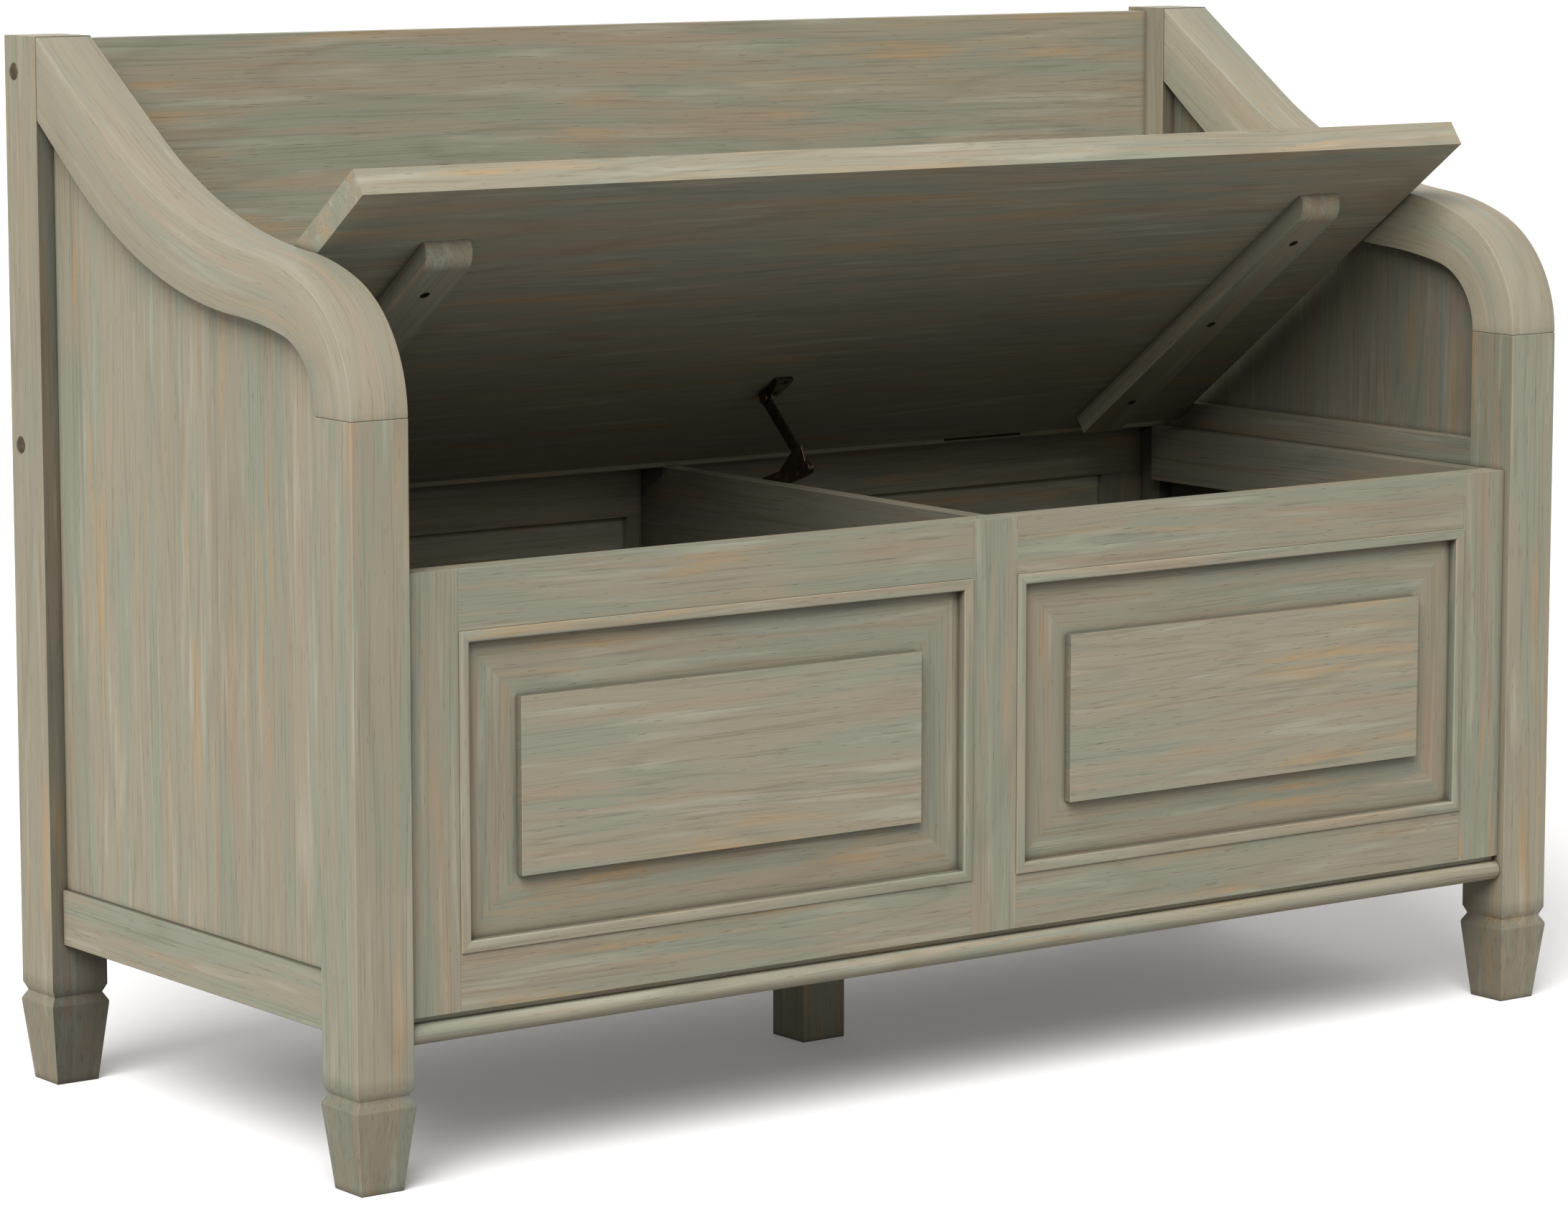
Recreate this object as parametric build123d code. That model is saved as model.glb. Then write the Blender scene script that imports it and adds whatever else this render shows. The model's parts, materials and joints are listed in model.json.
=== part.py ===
from build123d import *
import os
from math import asin, cos, degrees, radians, sin

# Entryway storage bench with a lift-up lid, in millimetres.
# X runs left to right, the front looks towards -Y, Z is up.
# The origin is on the floor under the middle of the bench.

# Whole bench
bench_width = 1067.0
bench_depth = 450.0
bench_height = 744.0
leg_size = 44.0
board = 20.0
half_width = bench_width / 2
half_depth = bench_depth / 2
inner_x = half_width - leg_size
leg_back_y = -half_depth + leg_size
post_front_y = half_depth - leg_size

# Feet: a V-notch, then a taper to the floor
foot_floor_size = 33.0
foot_shoulder_size = 45.5
foot_shoulder_z = 56.0
foot_shoulder_height = 2.0
notch_tip_z = 64.0
notch_top_z = 70.0
notch_size = 38.5
centre_leg_size = 38.0

# Arms
arm_seam_z = 510.5
arm_top_bends = [(93.0, -68.0), (212.0, -17.0), (404.0, 29.0)]
arm_under_bends = [(51.0, -77.0), (357.0, -9.5), (394.0, 33.5)]

# Sides
side_recess = 13.0
side_panel_thickness = 19.5
side_rail_recess = 9.3
side_rail_low_z = 102.0
side_rail_top_z = 142.0
panel_out_x = half_width - side_recess
panel_in_x = panel_out_x - side_panel_thickness

# Bottom board with a bullnose front
bottom_low_z = 95.5
bottom_thickness = 14.0
bottom_top_z = bottom_low_z + bottom_thickness
bottom_front_y = -half_depth + 3.0

# Front frame and its raised panels
front_recess = 6.4
front_face_y = -half_depth + front_recess
front_back_y = front_face_y + board
front_low_z = 113.8
front_top_z = 408.5
frame_width = 40.0
outer_stile_width = 41.0
rail_narrowing = 1.0
spacer_recess = 6.0
moulding_width = 8.0
moulding_proud = 1.5
panel_flat_y = front_face_y + 3.8
panel_edge_y = front_face_y + 6.8
panel_thickness = 8.0
bevel_width = 17.0
field_margin = 39.0
field_proud = 2.9

# Back
back_thickness = 18.0
back_front_y = half_depth - 21.5
back_rear_y = back_front_y + back_thickness
backrest_top_z = bench_height - 3.0
rear_panel_thickness = 8.0
rear_panel_recess = 5.0

# Lid, in its closed place
lid_gap = 0.6
lid_low_z = front_top_z + lid_gap
lid_top_z = lid_low_z + board
lid_side_gap = 2.5
lid_depth = 403.0
lid_open_angle = 36.0
batten_width = 37.0
batten_thickness = 15.0
batten_length = 322.0
batten_centre_x = 389.5
batten_from_lid_front = 63.0
batten_end_round = 14.5
batten_screw_places = [45.0, 161.0, 277.0]

# Butt hinges with the pin above the seat
pin_y = 172.5
pin_z = lid_top_z + 3.6
pin_radius = 1.6
barrel_radius = 3.2
hinge_length = 76.0
hinge_x = 300.0
knuckles = 5
knuckle_gap = 0.4
leaf_thickness = 1.3
leaf_offset = 0.3
leaf_low_z = lid_low_z + 1.5
leaf_top_z = lid_top_z + 0.1
neck_overlap = 0.5
pin_play = 0.06
edge_gap = 1.6
lid_rear_y = pin_y - edge_gap
strip_front_y = pin_y + edge_gap
lid_front_y = lid_rear_y - lid_depth

# Lid stay: a parallelogram of two flat bars beside the divider
divider_thickness = 15.0
stay_arm_y = 52.6
stay_arm_z = 47.5
stay_lid_reach = 102.0
stay_lid_drop = 7.0
stay_link_width = 12.0
stay_arm_width = 9.0
stay_bar_thickness = 2.0
stay_gap = 0.4
stay_heel_corners = [(-5.0, -3.0), (4.0, 17.0), (12.0, 15.0), (40.0, -14.0)]
rivet_radius = 2.5
rivet_head_radius = 4.5
rivet_head_height = 1.2
top_rivet_play = 0.35
base_plate_half_height = 14.0
base_plate_front = 14.0
base_plate_rear = 32.0
base_plate_round = 5.0
base_screw_reach = 22.0
base_screw_heights = [-8.0, 8.0]
bracket_width = 18.0
bracket_front = 18.0
bracket_ear = 8.0
bracket_round = 4.0
bracket_eye_radius = 6.0
bracket_screw_x = 11.0
bracket_screw_places = [-13.0, 2.0]

# Inside rails
seat_rail_low_z = 365.0
ledger_thickness = 14.6
ledger_rear_y = 174.0

# Back bolts and their caps
bolt_radius = 3.0
bolt_head_radius = 5.5
bolt_head_height = 4.0
bolt_reach = 52.0
bolt_heights = [457.0, 719.0]
bolt_y = (back_front_y + back_rear_y) / 2
cap_radius = 6.2
cap_dome = 2.2
cap_skirt = 1.0
nut_radius = 5.0
nut_length = 14.0
nut_from_end = 30.0

# Screws
screw_radius = 1.6
screw_head_radius = 3.2
screw_head_height = 1.6
hinge_screw_head_radius = 2.8
hinge_screw_drop = 1.0
hinge_screw_length = 16.0
base_screw_length = 13.0
bracket_screw_length = 14.0
batten_screw_bite = 12.0
batten_screw_radius = 2.0
batten_screw_head_radius = 3.6


def block(x0, x1, y0, y1, z0, z1):
    """A box from its two corners."""
    middle = ((x0 + x1) / 2, (y0 + y1) / 2, (z0 + z1) / 2)
    return Pos(*middle) * Box(abs(x1 - x0), abs(y1 - y0), abs(z1 - z0))


def mirrored(shape):
    """The same piece on the left side."""
    return mirror(shape, Plane.YZ)


def rod(start, direction, radius, length):
    """A round bar that starts at a point and runs along a direction."""
    plane = Plane(origin=start, z_dir=direction)
    return extrude(plane * Circle(radius), amount=length)


def screw(start, direction, radius, head_radius, head_height, length):
    """A countersunk screw whose flat head lies on the start point."""
    plane = Plane(origin=start, z_dir=direction)
    head = plane * (Pos(0, 0, head_height / 2) * Cone(head_radius, radius, head_height))
    return head + rod(start, direction, radius, length)


def square_turning(points):
    """A square bar whose half width follows a list of (half width, height) points."""
    outline = [(half, z) for half, z in points] + [(-half, z) for half, z in reversed(points)]
    widest = 2 * max(half for half, z in points)
    face = make_face(Polyline(*outline, close=True))
    across = extrude(Plane.XZ * face, amount=widest / 2, both=True)
    along = extrude(Plane.YZ * face, amount=widest / 2, both=True)
    return across & along


def leg(x, y, top_z):
    """A square leg with the notched and tapered foot."""
    half = leg_size / 2
    points = [
        (foot_floor_size / 2, 0),
        (foot_shoulder_size / 2, foot_shoulder_z),
        (foot_shoulder_size / 2, foot_shoulder_z + foot_shoulder_height),
        (notch_size / 2, notch_tip_z),
        (half, notch_top_z),
        (half, top_z),
    ]
    return Pos(x, y, 0) * square_turning(points)


def bent_edge(start, bends, end_y):
    """A smooth edge that starts upwards, follows its bends and ends straight at a depth."""
    edges = []
    point = Vector(*start)
    heading = Vector(0, 1)
    for radius, turn in bends:
        arc = JernArc(point, heading, radius, turn)
        edges.append(arc)
        point = arc @ 1
        heading = arc % 1
    run = (end_y - point.X) / heading.X
    edges.append(Line(point, point + heading * run))
    return edges


def arm_top_edge():
    return bent_edge((-half_depth, arm_seam_z), arm_top_bends, post_front_y)


def arm_under_edge():
    return bent_edge((leg_back_y, arm_seam_z), arm_under_bends, post_front_y)


def right_arm_rail():
    """The curved arm board between the front leg and the rear post."""
    top = arm_top_edge()
    under = arm_under_edge()
    rear = Line(top[-1] @ 1, under[-1] @ 1)
    foot = Line(under[0] @ 0, top[0] @ 0)
    face = make_face(top + under + [rear, foot])
    return Pos(inner_x, 0, 0) * extrude(Plane.YZ * face, amount=leg_size)


def right_side_panel():
    """The upright side board, cut along the underside of the arm."""
    under = arm_under_edge()
    arm_end = under[-1] @ 1
    sides = Polyline(
        arm_end,
        (post_front_y, side_rail_top_z),
        (leg_back_y, side_rail_top_z),
        (leg_back_y, arm_seam_z),
    )
    face = make_face(under + sides.edges())
    return Pos(panel_in_x, 0, 0) * extrude(Plane.YZ * face, amount=side_panel_thickness)


def right_side_bottom_rail():
    out_x = half_width - side_rail_recess
    return block(panel_in_x, out_x, leg_back_y, post_front_y, side_rail_low_z, side_rail_top_z)


def right_seat_rail():
    """The rail whose top edge lies level with the closed lid."""
    return block(inner_x, panel_in_x, leg_back_y, post_front_y, seat_rail_low_z, lid_top_z)


def right_lid_ledger():
    """The ledger that the side of the closed lid rests on."""
    low_x = inner_x - ledger_thickness
    return block(low_x, inner_x, front_back_y, ledger_rear_y, seat_rail_low_z, front_top_z)


def bottom_board():
    """The floor of the chest, with its bullnose edge under the front frame."""
    radius = bottom_thickness / 2
    nose_y = bottom_front_y + radius
    middle_z = (bottom_low_z + bottom_top_z) / 2
    wide = block(-panel_in_x, panel_in_x, leg_back_y, post_front_y, bottom_low_z, bottom_top_z)
    deep = block(-inner_x, inner_x, nose_y, back_rear_y, bottom_low_z, bottom_top_z)
    nose = rod((-inner_x, nose_y, middle_z), (1, 0, 0), radius, 2 * inner_x)
    return wide + deep + nose


def front_stile(middle_x, width):
    return block(
        middle_x - width / 2, middle_x + width / 2,
        front_face_y, front_back_y, front_low_z, front_top_z,
    )


# Openings of the front frame
opening_in_x = frame_width / 2
opening_out_x = inner_x - outer_stile_width
opening_low_z = front_low_z + frame_width - rail_narrowing
opening_top_z = front_top_z - frame_width - rail_narrowing
opening_middle_x = (opening_in_x + opening_out_x) / 2
opening_middle_z = (opening_low_z + opening_top_z) / 2
opening_width = opening_out_x - opening_in_x
opening_height = opening_top_z - opening_low_z


def right_front_rail(low_z, top_z):
    return block(opening_in_x, opening_out_x, front_face_y, front_back_y, low_z, top_z)


def frame_sheet(width, height, y):
    """A rectangle that fills part of the front opening, at a given depth."""
    plane = Plane(origin=(opening_middle_x, y, opening_middle_z), x_dir=(1, 0, 0), z_dir=(0, -1, 0))
    return plane * Rectangle(width, height)


def right_front_panel():
    """The panel of one bay, bevelled down to its edges."""
    edge = frame_sheet(opening_width, opening_height, panel_edge_y)
    rim_width = opening_width - 2 * moulding_width
    rim_height = opening_height - 2 * moulding_width
    rim = frame_sheet(rim_width, rim_height, panel_edge_y)
    flat = frame_sheet(rim_width - 2 * bevel_width, rim_height - 2 * bevel_width, panel_flat_y)
    back = extrude(edge, amount=-panel_thickness)
    return back + loft([rim, flat])


def right_raised_field():
    """The raised field in the middle of the panel."""
    inset = 2 * (moulding_width + field_margin)
    face = frame_sheet(opening_width - inset, opening_height - inset, panel_flat_y)
    return extrude(face, amount=panel_flat_y - front_face_y + field_proud)


def right_panel_moulding():
    """Four mitred lengths of moulding round the panel."""
    outer = (opening_width / 2, opening_height / 2)
    inner = (outer[0] - moulding_width, outer[1] - moulding_width)
    corners = [(1, 1), (-1, 1), (-1, -1), (1, -1)]
    origin = (opening_middle_x, panel_edge_y, opening_middle_z)
    plane = Plane(origin=origin, x_dir=(1, 0, 0), z_dir=(0, -1, 0))
    lengths = []
    for first, second in zip(corners, corners[1:] + corners[:1]):
        points = [
            (outer[0] * first[0], outer[1] * first[1]),
            (outer[0] * second[0], outer[1] * second[1]),
            (inner[0] * second[0], inner[1] * second[1]),
            (inner[0] * first[0], inner[1] * first[1]),
        ]
        face = plane * make_face(Polyline(*points, close=True))
        depth = panel_edge_y - front_face_y + moulding_proud
        lengths.append(extrude(face, amount=depth, dir=(0, -1, 0)))
    return group(lengths)


def front_spacer_strip():
    """The set-back strip between the bottom board and the front frame."""
    strip_face_y = front_face_y + spacer_recess
    return block(-inner_x, inner_x, strip_face_y, front_back_y, bottom_top_z, front_low_z)


def divider():
    half = divider_thickness / 2
    return block(-half, half, front_back_y, back_front_y, bottom_top_z, front_top_z)


def rear_seat_strip():
    """The fixed strip of seat behind the lid, which carries the hinges."""
    return block(-inner_x, inner_x, strip_front_y, back_front_y, front_top_z, lid_top_z)


def backrest_board():
    return block(-inner_x, inner_x, back_front_y, back_rear_y, front_top_z, backrest_top_z)


def rear_rail(low_z, top_z):
    return block(-inner_x, inner_x, back_front_y, back_rear_y, low_z, top_z)


rear_open_low_z = bottom_top_z + frame_width
rear_open_top_z = front_top_z - frame_width


def rear_stile(x0, x1):
    return block(x0, x1, back_front_y, back_rear_y, rear_open_low_z, rear_open_top_z)


def right_rear_panel():
    """The plain panel that closes one bay at the back."""
    panel_y = back_front_y + rear_panel_recess
    return block(
        opening_in_x, opening_out_x,
        panel_y, panel_y + rear_panel_thickness, rear_open_low_z, rear_open_top_z,
    )


def opened(shape, angle=lid_open_angle):
    """Turn a piece of the closed lid about the hinge pins into its place at rest."""
    return Pos(0, pin_y, pin_z) * Rot(-angle, 0, 0) * Pos(0, -pin_y, -pin_z) * shape


def closed_lid_board():
    side_x = inner_x - lid_side_gap
    return block(-side_x, side_x, lid_front_y, lid_rear_y, lid_low_z, lid_top_z)


def closed_batten():
    """A stiffening batten with a quarter-round front end, on the right of the lid."""
    front_y = lid_front_y + batten_from_lid_front
    rear_y = front_y + batten_length
    low_z = lid_low_z - batten_thickness
    x0 = batten_centre_x - batten_width / 2
    x1 = batten_centre_x + batten_width / 2
    bar = block(x0, x1, front_y, rear_y, low_z, lid_low_z)
    front_edge = bar.edges().filter_by(Axis.X).sort_by(Axis.Y)[:2].sort_by(Axis.Z)[0]
    return fillet(front_edge, batten_end_round)


def closed_batten_screws():
    """The three screws of the right batten."""
    front_y = lid_front_y + batten_from_lid_front
    low_z = lid_low_z - batten_thickness
    screws = []
    for place in batten_screw_places:
        start = (batten_centre_x, front_y + place, low_z)
        screws.append(screw(
            start, (0, 0, 1), batten_screw_radius, batten_screw_head_radius,
            screw_head_height, batten_thickness + batten_screw_bite,
        ))
    return screws


def knuckle_spans(middle_x):
    """The start and end of each knuckle along the pin."""
    pitch = hinge_length / knuckles
    start = middle_x - hinge_length / 2
    spans = []
    for place in range(knuckles):
        low = start + place * pitch + knuckle_gap / 2
        spans.append((low, low + pitch - knuckle_gap))
    return spans


def hinge_leaf(middle_x, side, first, bore):
    """One leaf of a butt hinge: side is 1 for the seat strip and -1 for the lid."""
    near_y = pin_y + side * leaf_offset
    far_y = near_y + side * leaf_thickness
    start_x = middle_x - hinge_length / 2
    leaf = block(start_x, start_x + hinge_length, near_y, far_y, leaf_low_z, leaf_top_z)
    for low_x, high_x in knuckle_spans(middle_x)[first::2]:
        neck = block(low_x, high_x, near_y, far_y, leaf_top_z - neck_overlap, pin_z)
        barrel = rod((low_x, pin_y, pin_z), (1, 0, 0), barrel_radius, high_x - low_x)
        leaf = leaf + neck + barrel
    hole = rod((start_x - 1, pin_y, pin_z), (1, 0, 0), bore, hinge_length + 2)
    return leaf - hole


def hinge_pin(middle_x):
    start_x = middle_x - hinge_length / 2
    return rod((start_x, pin_y, pin_z), (1, 0, 0), pin_radius, hinge_length)


def hinge_screws(middle_x, side):
    """Three screws that hold one leaf to the edge of its board."""
    screws = []
    for place in (-1, 0, 1):
        start = (
            middle_x + place * hinge_length / 3,
            pin_y + side * leaf_offset,
            (lid_low_z + lid_top_z) / 2 - hinge_screw_drop,
        )
        screws.append(screw(
            start, (0, side, 0), screw_radius, hinge_screw_head_radius,
            leaf_thickness, hinge_screw_length,
        ))
    return screws


# Pivots of the lid stay with the lid at rest
lid_turn = radians(lid_open_angle)
stay_drop = pin_z - lid_low_z + stay_lid_drop
stay_lid_y = pin_y - stay_lid_reach * cos(lid_turn) - stay_drop * sin(lid_turn)
stay_lid_z = pin_z + stay_lid_reach * sin(lid_turn) - stay_drop * cos(lid_turn)
stay_elbow_y = stay_lid_y - stay_arm_y
stay_elbow_z = stay_lid_z - stay_arm_z
stay_base_y = pin_y - stay_arm_y
stay_base_z = pin_z - stay_arm_z
stay_plate_x = divider_thickness / 2
stay_link_x = stay_plate_x + stay_bar_thickness + stay_gap
stay_arm_x = stay_link_x + stay_bar_thickness + stay_gap
stay_ear_x = stay_arm_x + stay_bar_thickness + stay_gap


def flat_bar(x, start, end, width):
    """A flat bar with round ends between two pivots in the upright plane at x."""
    step = Vector(end[0] - start[0], end[1] - start[1])
    middle = Vector(*start) + step * 0.5
    slot = SlotCenterToCenter(step.length, width)
    turn = Vector(1, 0).get_signed_angle(step, Vector(0, 0, 1))
    face = Pos(middle.X, middle.Y) * Rot(0, 0, turn) * slot
    return Pos(x, 0, 0) * extrude(Plane.YZ * face, amount=stay_bar_thickness)


def pivot_hole(y, z, radius):
    return rod((0, y, z), (1, 0, 0), radius, stay_ear_x + bracket_width)


def stay_base_plate():
    """The plate on the divider that carries the lower pivot and its rivet."""
    y = stay_base_y
    z = stay_base_z
    plate = block(
        stay_plate_x, stay_plate_x + stay_bar_thickness,
        y - base_plate_front, y + base_plate_rear,
        z - base_plate_half_height, z + base_plate_half_height,
    )
    plate = fillet(plate.edges().filter_by(Axis.X), base_plate_round)
    shank_end = stay_arm_x
    shank = rod((stay_plate_x, y, z), (1, 0, 0), rivet_radius, shank_end - stay_plate_x)
    head = rod((shank_end, y, z), (1, 0, 0), rivet_head_radius, rivet_head_height)
    return plate + shank + head


def stay_base_screws():
    x = stay_plate_x + stay_bar_thickness
    screws = []
    for height in base_screw_heights:
        start = (x, stay_base_y + base_screw_reach, stay_base_z + height)
        screws.append(screw(
            start, (-1, 0, 0), screw_radius, screw_head_radius,
            screw_head_height, base_screw_length,
        ))
    return screws


def stay_lower_link():
    """The lower bar, with a deep heel and the elbow rivet."""
    base = (stay_base_y, stay_base_z)
    elbow = (stay_elbow_y, stay_elbow_z)
    bar = flat_bar(stay_link_x, base, elbow, stay_link_width)
    corners = [(elbow[0] + y, elbow[1] + z) for y, z in stay_heel_corners]
    heel = make_face(Polyline(*corners, close=True))
    bar = bar + Pos(stay_link_x, 0, 0) * extrude(Plane.YZ * heel, amount=stay_bar_thickness)
    bar = bar - pivot_hole(*base, rivet_radius + pin_play)
    shank = rod((stay_link_x, *elbow), (1, 0, 0), rivet_radius, stay_ear_x - stay_link_x)
    head = rod((stay_ear_x, *elbow), (1, 0, 0), rivet_head_radius, rivet_head_height)
    return bar + shank + head


def stay_upper_arm():
    """The upper bar from the elbow to the lid."""
    elbow = (stay_elbow_y, stay_elbow_z)
    top = (stay_lid_y, stay_lid_z)
    bar = flat_bar(stay_arm_x, elbow, top, stay_arm_width)
    bar = bar - pivot_hole(*elbow, rivet_radius + pin_play)
    return bar - pivot_hole(*top, rivet_radius + top_rivet_play)


def closed_lid_bracket():
    """The angle bracket under the lid, with the upper rivet."""
    y = pin_y - stay_lid_reach
    z = lid_low_z - stay_lid_drop
    ear_end_x = stay_ear_x + stay_bar_thickness
    flange = block(
        stay_ear_x, stay_ear_x + bracket_width,
        y - bracket_front, y + bracket_ear,
        lid_low_z - stay_bar_thickness, lid_low_z,
    )
    flange = fillet(flange.edges().filter_by(Axis.Z).sort_by(Axis.X)[2:], bracket_round)
    ear = block(stay_ear_x, ear_end_x, y - bracket_ear, y + bracket_ear, z, lid_low_z)
    eye = rod((stay_ear_x, y, z), (1, 0, 0), bracket_eye_radius, stay_bar_thickness)
    gusset_face = make_face(Polyline(
        (y - bracket_front, lid_low_z), (y - bracket_ear, lid_low_z),
        (y - bracket_ear, z), (y - bracket_front, lid_low_z - stay_bar_thickness),
        close=True,
    ))
    gusset = Pos(stay_ear_x, 0, 0) * extrude(Plane.YZ * gusset_face, amount=stay_bar_thickness)
    head_x = stay_arm_x - stay_gap / 2 - rivet_head_height
    shank = rod((head_x, y, z), (1, 0, 0), rivet_radius, stay_ear_x - head_x)
    head = rod((head_x, y, z), (1, 0, 0), rivet_head_radius, rivet_head_height)
    return flange + ear + eye + gusset + shank + head


def closed_bracket_screws():
    y = pin_y - stay_lid_reach
    screws = []
    for place in bracket_screw_places:
        start = (stay_ear_x + bracket_screw_x, y + place, lid_low_z - stay_bar_thickness)
        screws.append(screw(
            start, (0, 0, 1), screw_radius, screw_head_radius,
            screw_head_height, bracket_screw_length,
        ))
    return screws


def right_back_bolts():
    """Bolts through the right rear post into the end of the backrest."""
    bolts = []
    for height in bolt_heights:
        head_x = half_width - bolt_head_height
        start = (head_x, bolt_y, height)
        head = rod(start, (1, 0, 0), bolt_head_radius, bolt_head_height - cap_skirt)
        shank = rod(start, (-1, 0, 0), bolt_radius, leg_size - bolt_head_height + bolt_reach)
        bolts.append(head + shank)
    return bolts


def right_bolt_caps():
    """Domed caps that fill the counterbores over the bolt heads."""
    ball_radius = (cap_radius ** 2 + cap_dome ** 2) / (2 * cap_dome)
    sweep = degrees(asin(cap_radius / ball_radius))
    dome = CenterArc((cap_dome - ball_radius, 0), ball_radius, 0, sweep)
    skirt = Polyline(dome @ 1, (-cap_skirt, cap_radius), (-cap_skirt, 0), dome @ 0)
    cap = revolve(make_face([dome, skirt]), Axis.X)
    return [Pos(half_width, bolt_y, height) * cap for height in bolt_heights]


def right_counterbores():
    """The stepped holes in the post for the bolts and caps."""
    holes = []
    for height in bolt_heights:
        mouth = (half_width - bolt_head_height, bolt_y, height)
        wide = rod(mouth, (1, 0, 0), cap_radius, bolt_head_height + 1)
        narrow = rod(mouth, (-1, 0, 0), bolt_radius, leg_size + bolt_reach)
        holes.append(wide + narrow)
    return holes


def right_barrel_nuts():
    """Cross nuts let into the rear face of the backrest."""
    nuts = []
    for height in bolt_heights:
        start = (inner_x - nut_from_end, back_rear_y, height)
        nut = rod(start, (0, -1, 0), nut_radius, nut_length)
        bolt_hole = rod((inner_x, bolt_y, height), (-1, 0, 0), bolt_radius, bolt_reach)
        nuts.append(nut - bolt_hole)
    return nuts


def nut_pockets():
    pockets = []
    for height in bolt_heights:
        start = (inner_x - nut_from_end, back_rear_y, height)
        pockets.append(rod(start, (0, -1, 0), nut_radius, nut_length))
    return pockets


def both(shapes):
    """The right-hand pieces and their mirror images."""
    return shapes + [mirrored(shape) for shape in shapes]


def group(shapes):
    """Several separate solids in one node."""
    return Compound([solid for shape in shapes for solid in shape.solids()])


def cut(shape, tools):
    """Take a list of solids out of a piece."""
    for tool in tools:
        shape = shape - tool
    return shape


parts = {}


def add_pair(name, shape, form="{}_{}"):
    """Store a right-hand piece and its mirror image."""
    parts[form.format("right", name)] = shape
    parts[form.format("left", name)] = mirrored(shape)


def add_case():
    leg_x = half_width - leg_size / 2
    leg_y = half_depth - leg_size / 2
    post = cut(leg(leg_x, leg_y, bench_height), right_counterbores())
    add_pair("front_leg", leg(leg_x, -leg_y, arm_seam_z))
    add_pair("rear_post", post)
    half = centre_leg_size / 2
    parts["centre_leg"] = block(-half, half, -half, half, 0, bottom_low_z)
    add_pair("arm_rail", right_arm_rail())
    add_pair("side_panel", right_side_panel())
    add_pair("side_bottom_rail", right_side_bottom_rail())
    add_pair("seat_rail", right_seat_rail())
    add_pair("lid_ledger", right_lid_ledger())
    parts["bottom_board"] = bottom_board()
    parts["divider"] = cut(divider(), stay_base_screws())


def add_front():
    outer_x = inner_x - outer_stile_width / 2
    add_pair("stile", front_stile(outer_x, outer_stile_width), "front_{}_{}")
    parts["front_centre_stile"] = front_stile(0, frame_width)
    add_pair("top_rail", right_front_rail(opening_top_z, front_top_z), "front_{}_{}")
    add_pair("bottom_rail", right_front_rail(front_low_z, opening_low_z), "front_{}_{}")
    add_pair("front_panel", right_front_panel())
    add_pair("raised_field", right_raised_field())
    add_pair("panel_moulding", right_panel_moulding())
    parts["front_spacer_strip"] = front_spacer_strip()


def add_back():
    holes = both(right_counterbores()) + both(nut_pockets())
    parts["backrest_board"] = cut(backrest_board(), holes)
    parts["rear_top_rail"] = rear_rail(rear_open_top_z, front_top_z)
    parts["rear_bottom_rail"] = rear_rail(bottom_top_z, rear_open_low_z)
    parts["rear_centre_stile"] = rear_stile(-opening_in_x, opening_in_x)
    add_pair("stile", rear_stile(opening_out_x, inner_x), "rear_{}_{}")
    add_pair("rear_panel", right_rear_panel())
    parts["back_bolts"] = group(both(right_back_bolts()))
    parts["bolt_caps"] = group(both(right_bolt_caps()))
    parts["barrel_nuts"] = group(both(right_barrel_nuts()))


def add_lid():
    batten_screws = both(closed_batten_screws())
    lid_screws = closed_bracket_screws()
    for middle_x in (-hinge_x, hinge_x):
        lid_screws += hinge_screws(middle_x, -1)
    parts["lid_board"] = opened(cut(closed_lid_board(), batten_screws + lid_screws))
    batten = cut(closed_batten(), closed_batten_screws())
    parts["right_lid_batten"] = opened(batten)
    parts["left_lid_batten"] = opened(mirrored(batten))
    parts["batten_screws"] = opened(group(batten_screws))
    parts["lid_fitting_screws"] = opened(group(lid_screws))
    bracket = cut(closed_lid_bracket(), closed_bracket_screws())
    parts["stay_lid_bracket"] = opened(bracket)


def add_hinges():
    case_screws = stay_base_screws()
    pins = []
    for side_name, middle_x in (("left", -hinge_x), ("right", hinge_x)):
        strip_screws = hinge_screws(middle_x, 1)
        case_leaf = hinge_leaf(middle_x, 1, 0, pin_radius)
        lid_leaf = hinge_leaf(middle_x, -1, 1, pin_radius + pin_play)
        parts[side_name + "_case_hinge_leaf"] = cut(case_leaf, strip_screws)
        parts[side_name + "_lid_hinge_leaf"] = opened(cut(lid_leaf, hinge_screws(middle_x, -1)))
        pins.append(hinge_pin(middle_x))
        case_screws += strip_screws
    parts["hinge_pins"] = group(pins)
    parts["case_fitting_screws"] = group(case_screws)
    parts["rear_seat_strip"] = cut(rear_seat_strip(), case_screws)


def add_stay():
    parts["stay_base_plate"] = cut(stay_base_plate(), stay_base_screws())
    parts["stay_lower_link"] = stay_lower_link()
    parts["stay_upper_arm"] = stay_upper_arm()


add_case()
add_front()
add_back()
add_lid()
add_hinges()
add_stay()

os.makedirs("parts", exist_ok=True)
for name, shape in parts.items():
    export_step(shape, "parts/" + name + ".step")
print("arm top meets the post at", round((arm_top_edge()[-1] @ 1).Y, 1))
print("arm underside meets the post at", round((arm_under_edge()[-1] @ 1).Y, 1))
print(len(parts), "nodes")
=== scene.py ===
import bpy
import json
import math
import numpy as np
import random
from mathutils import Matrix, Vector


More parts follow.
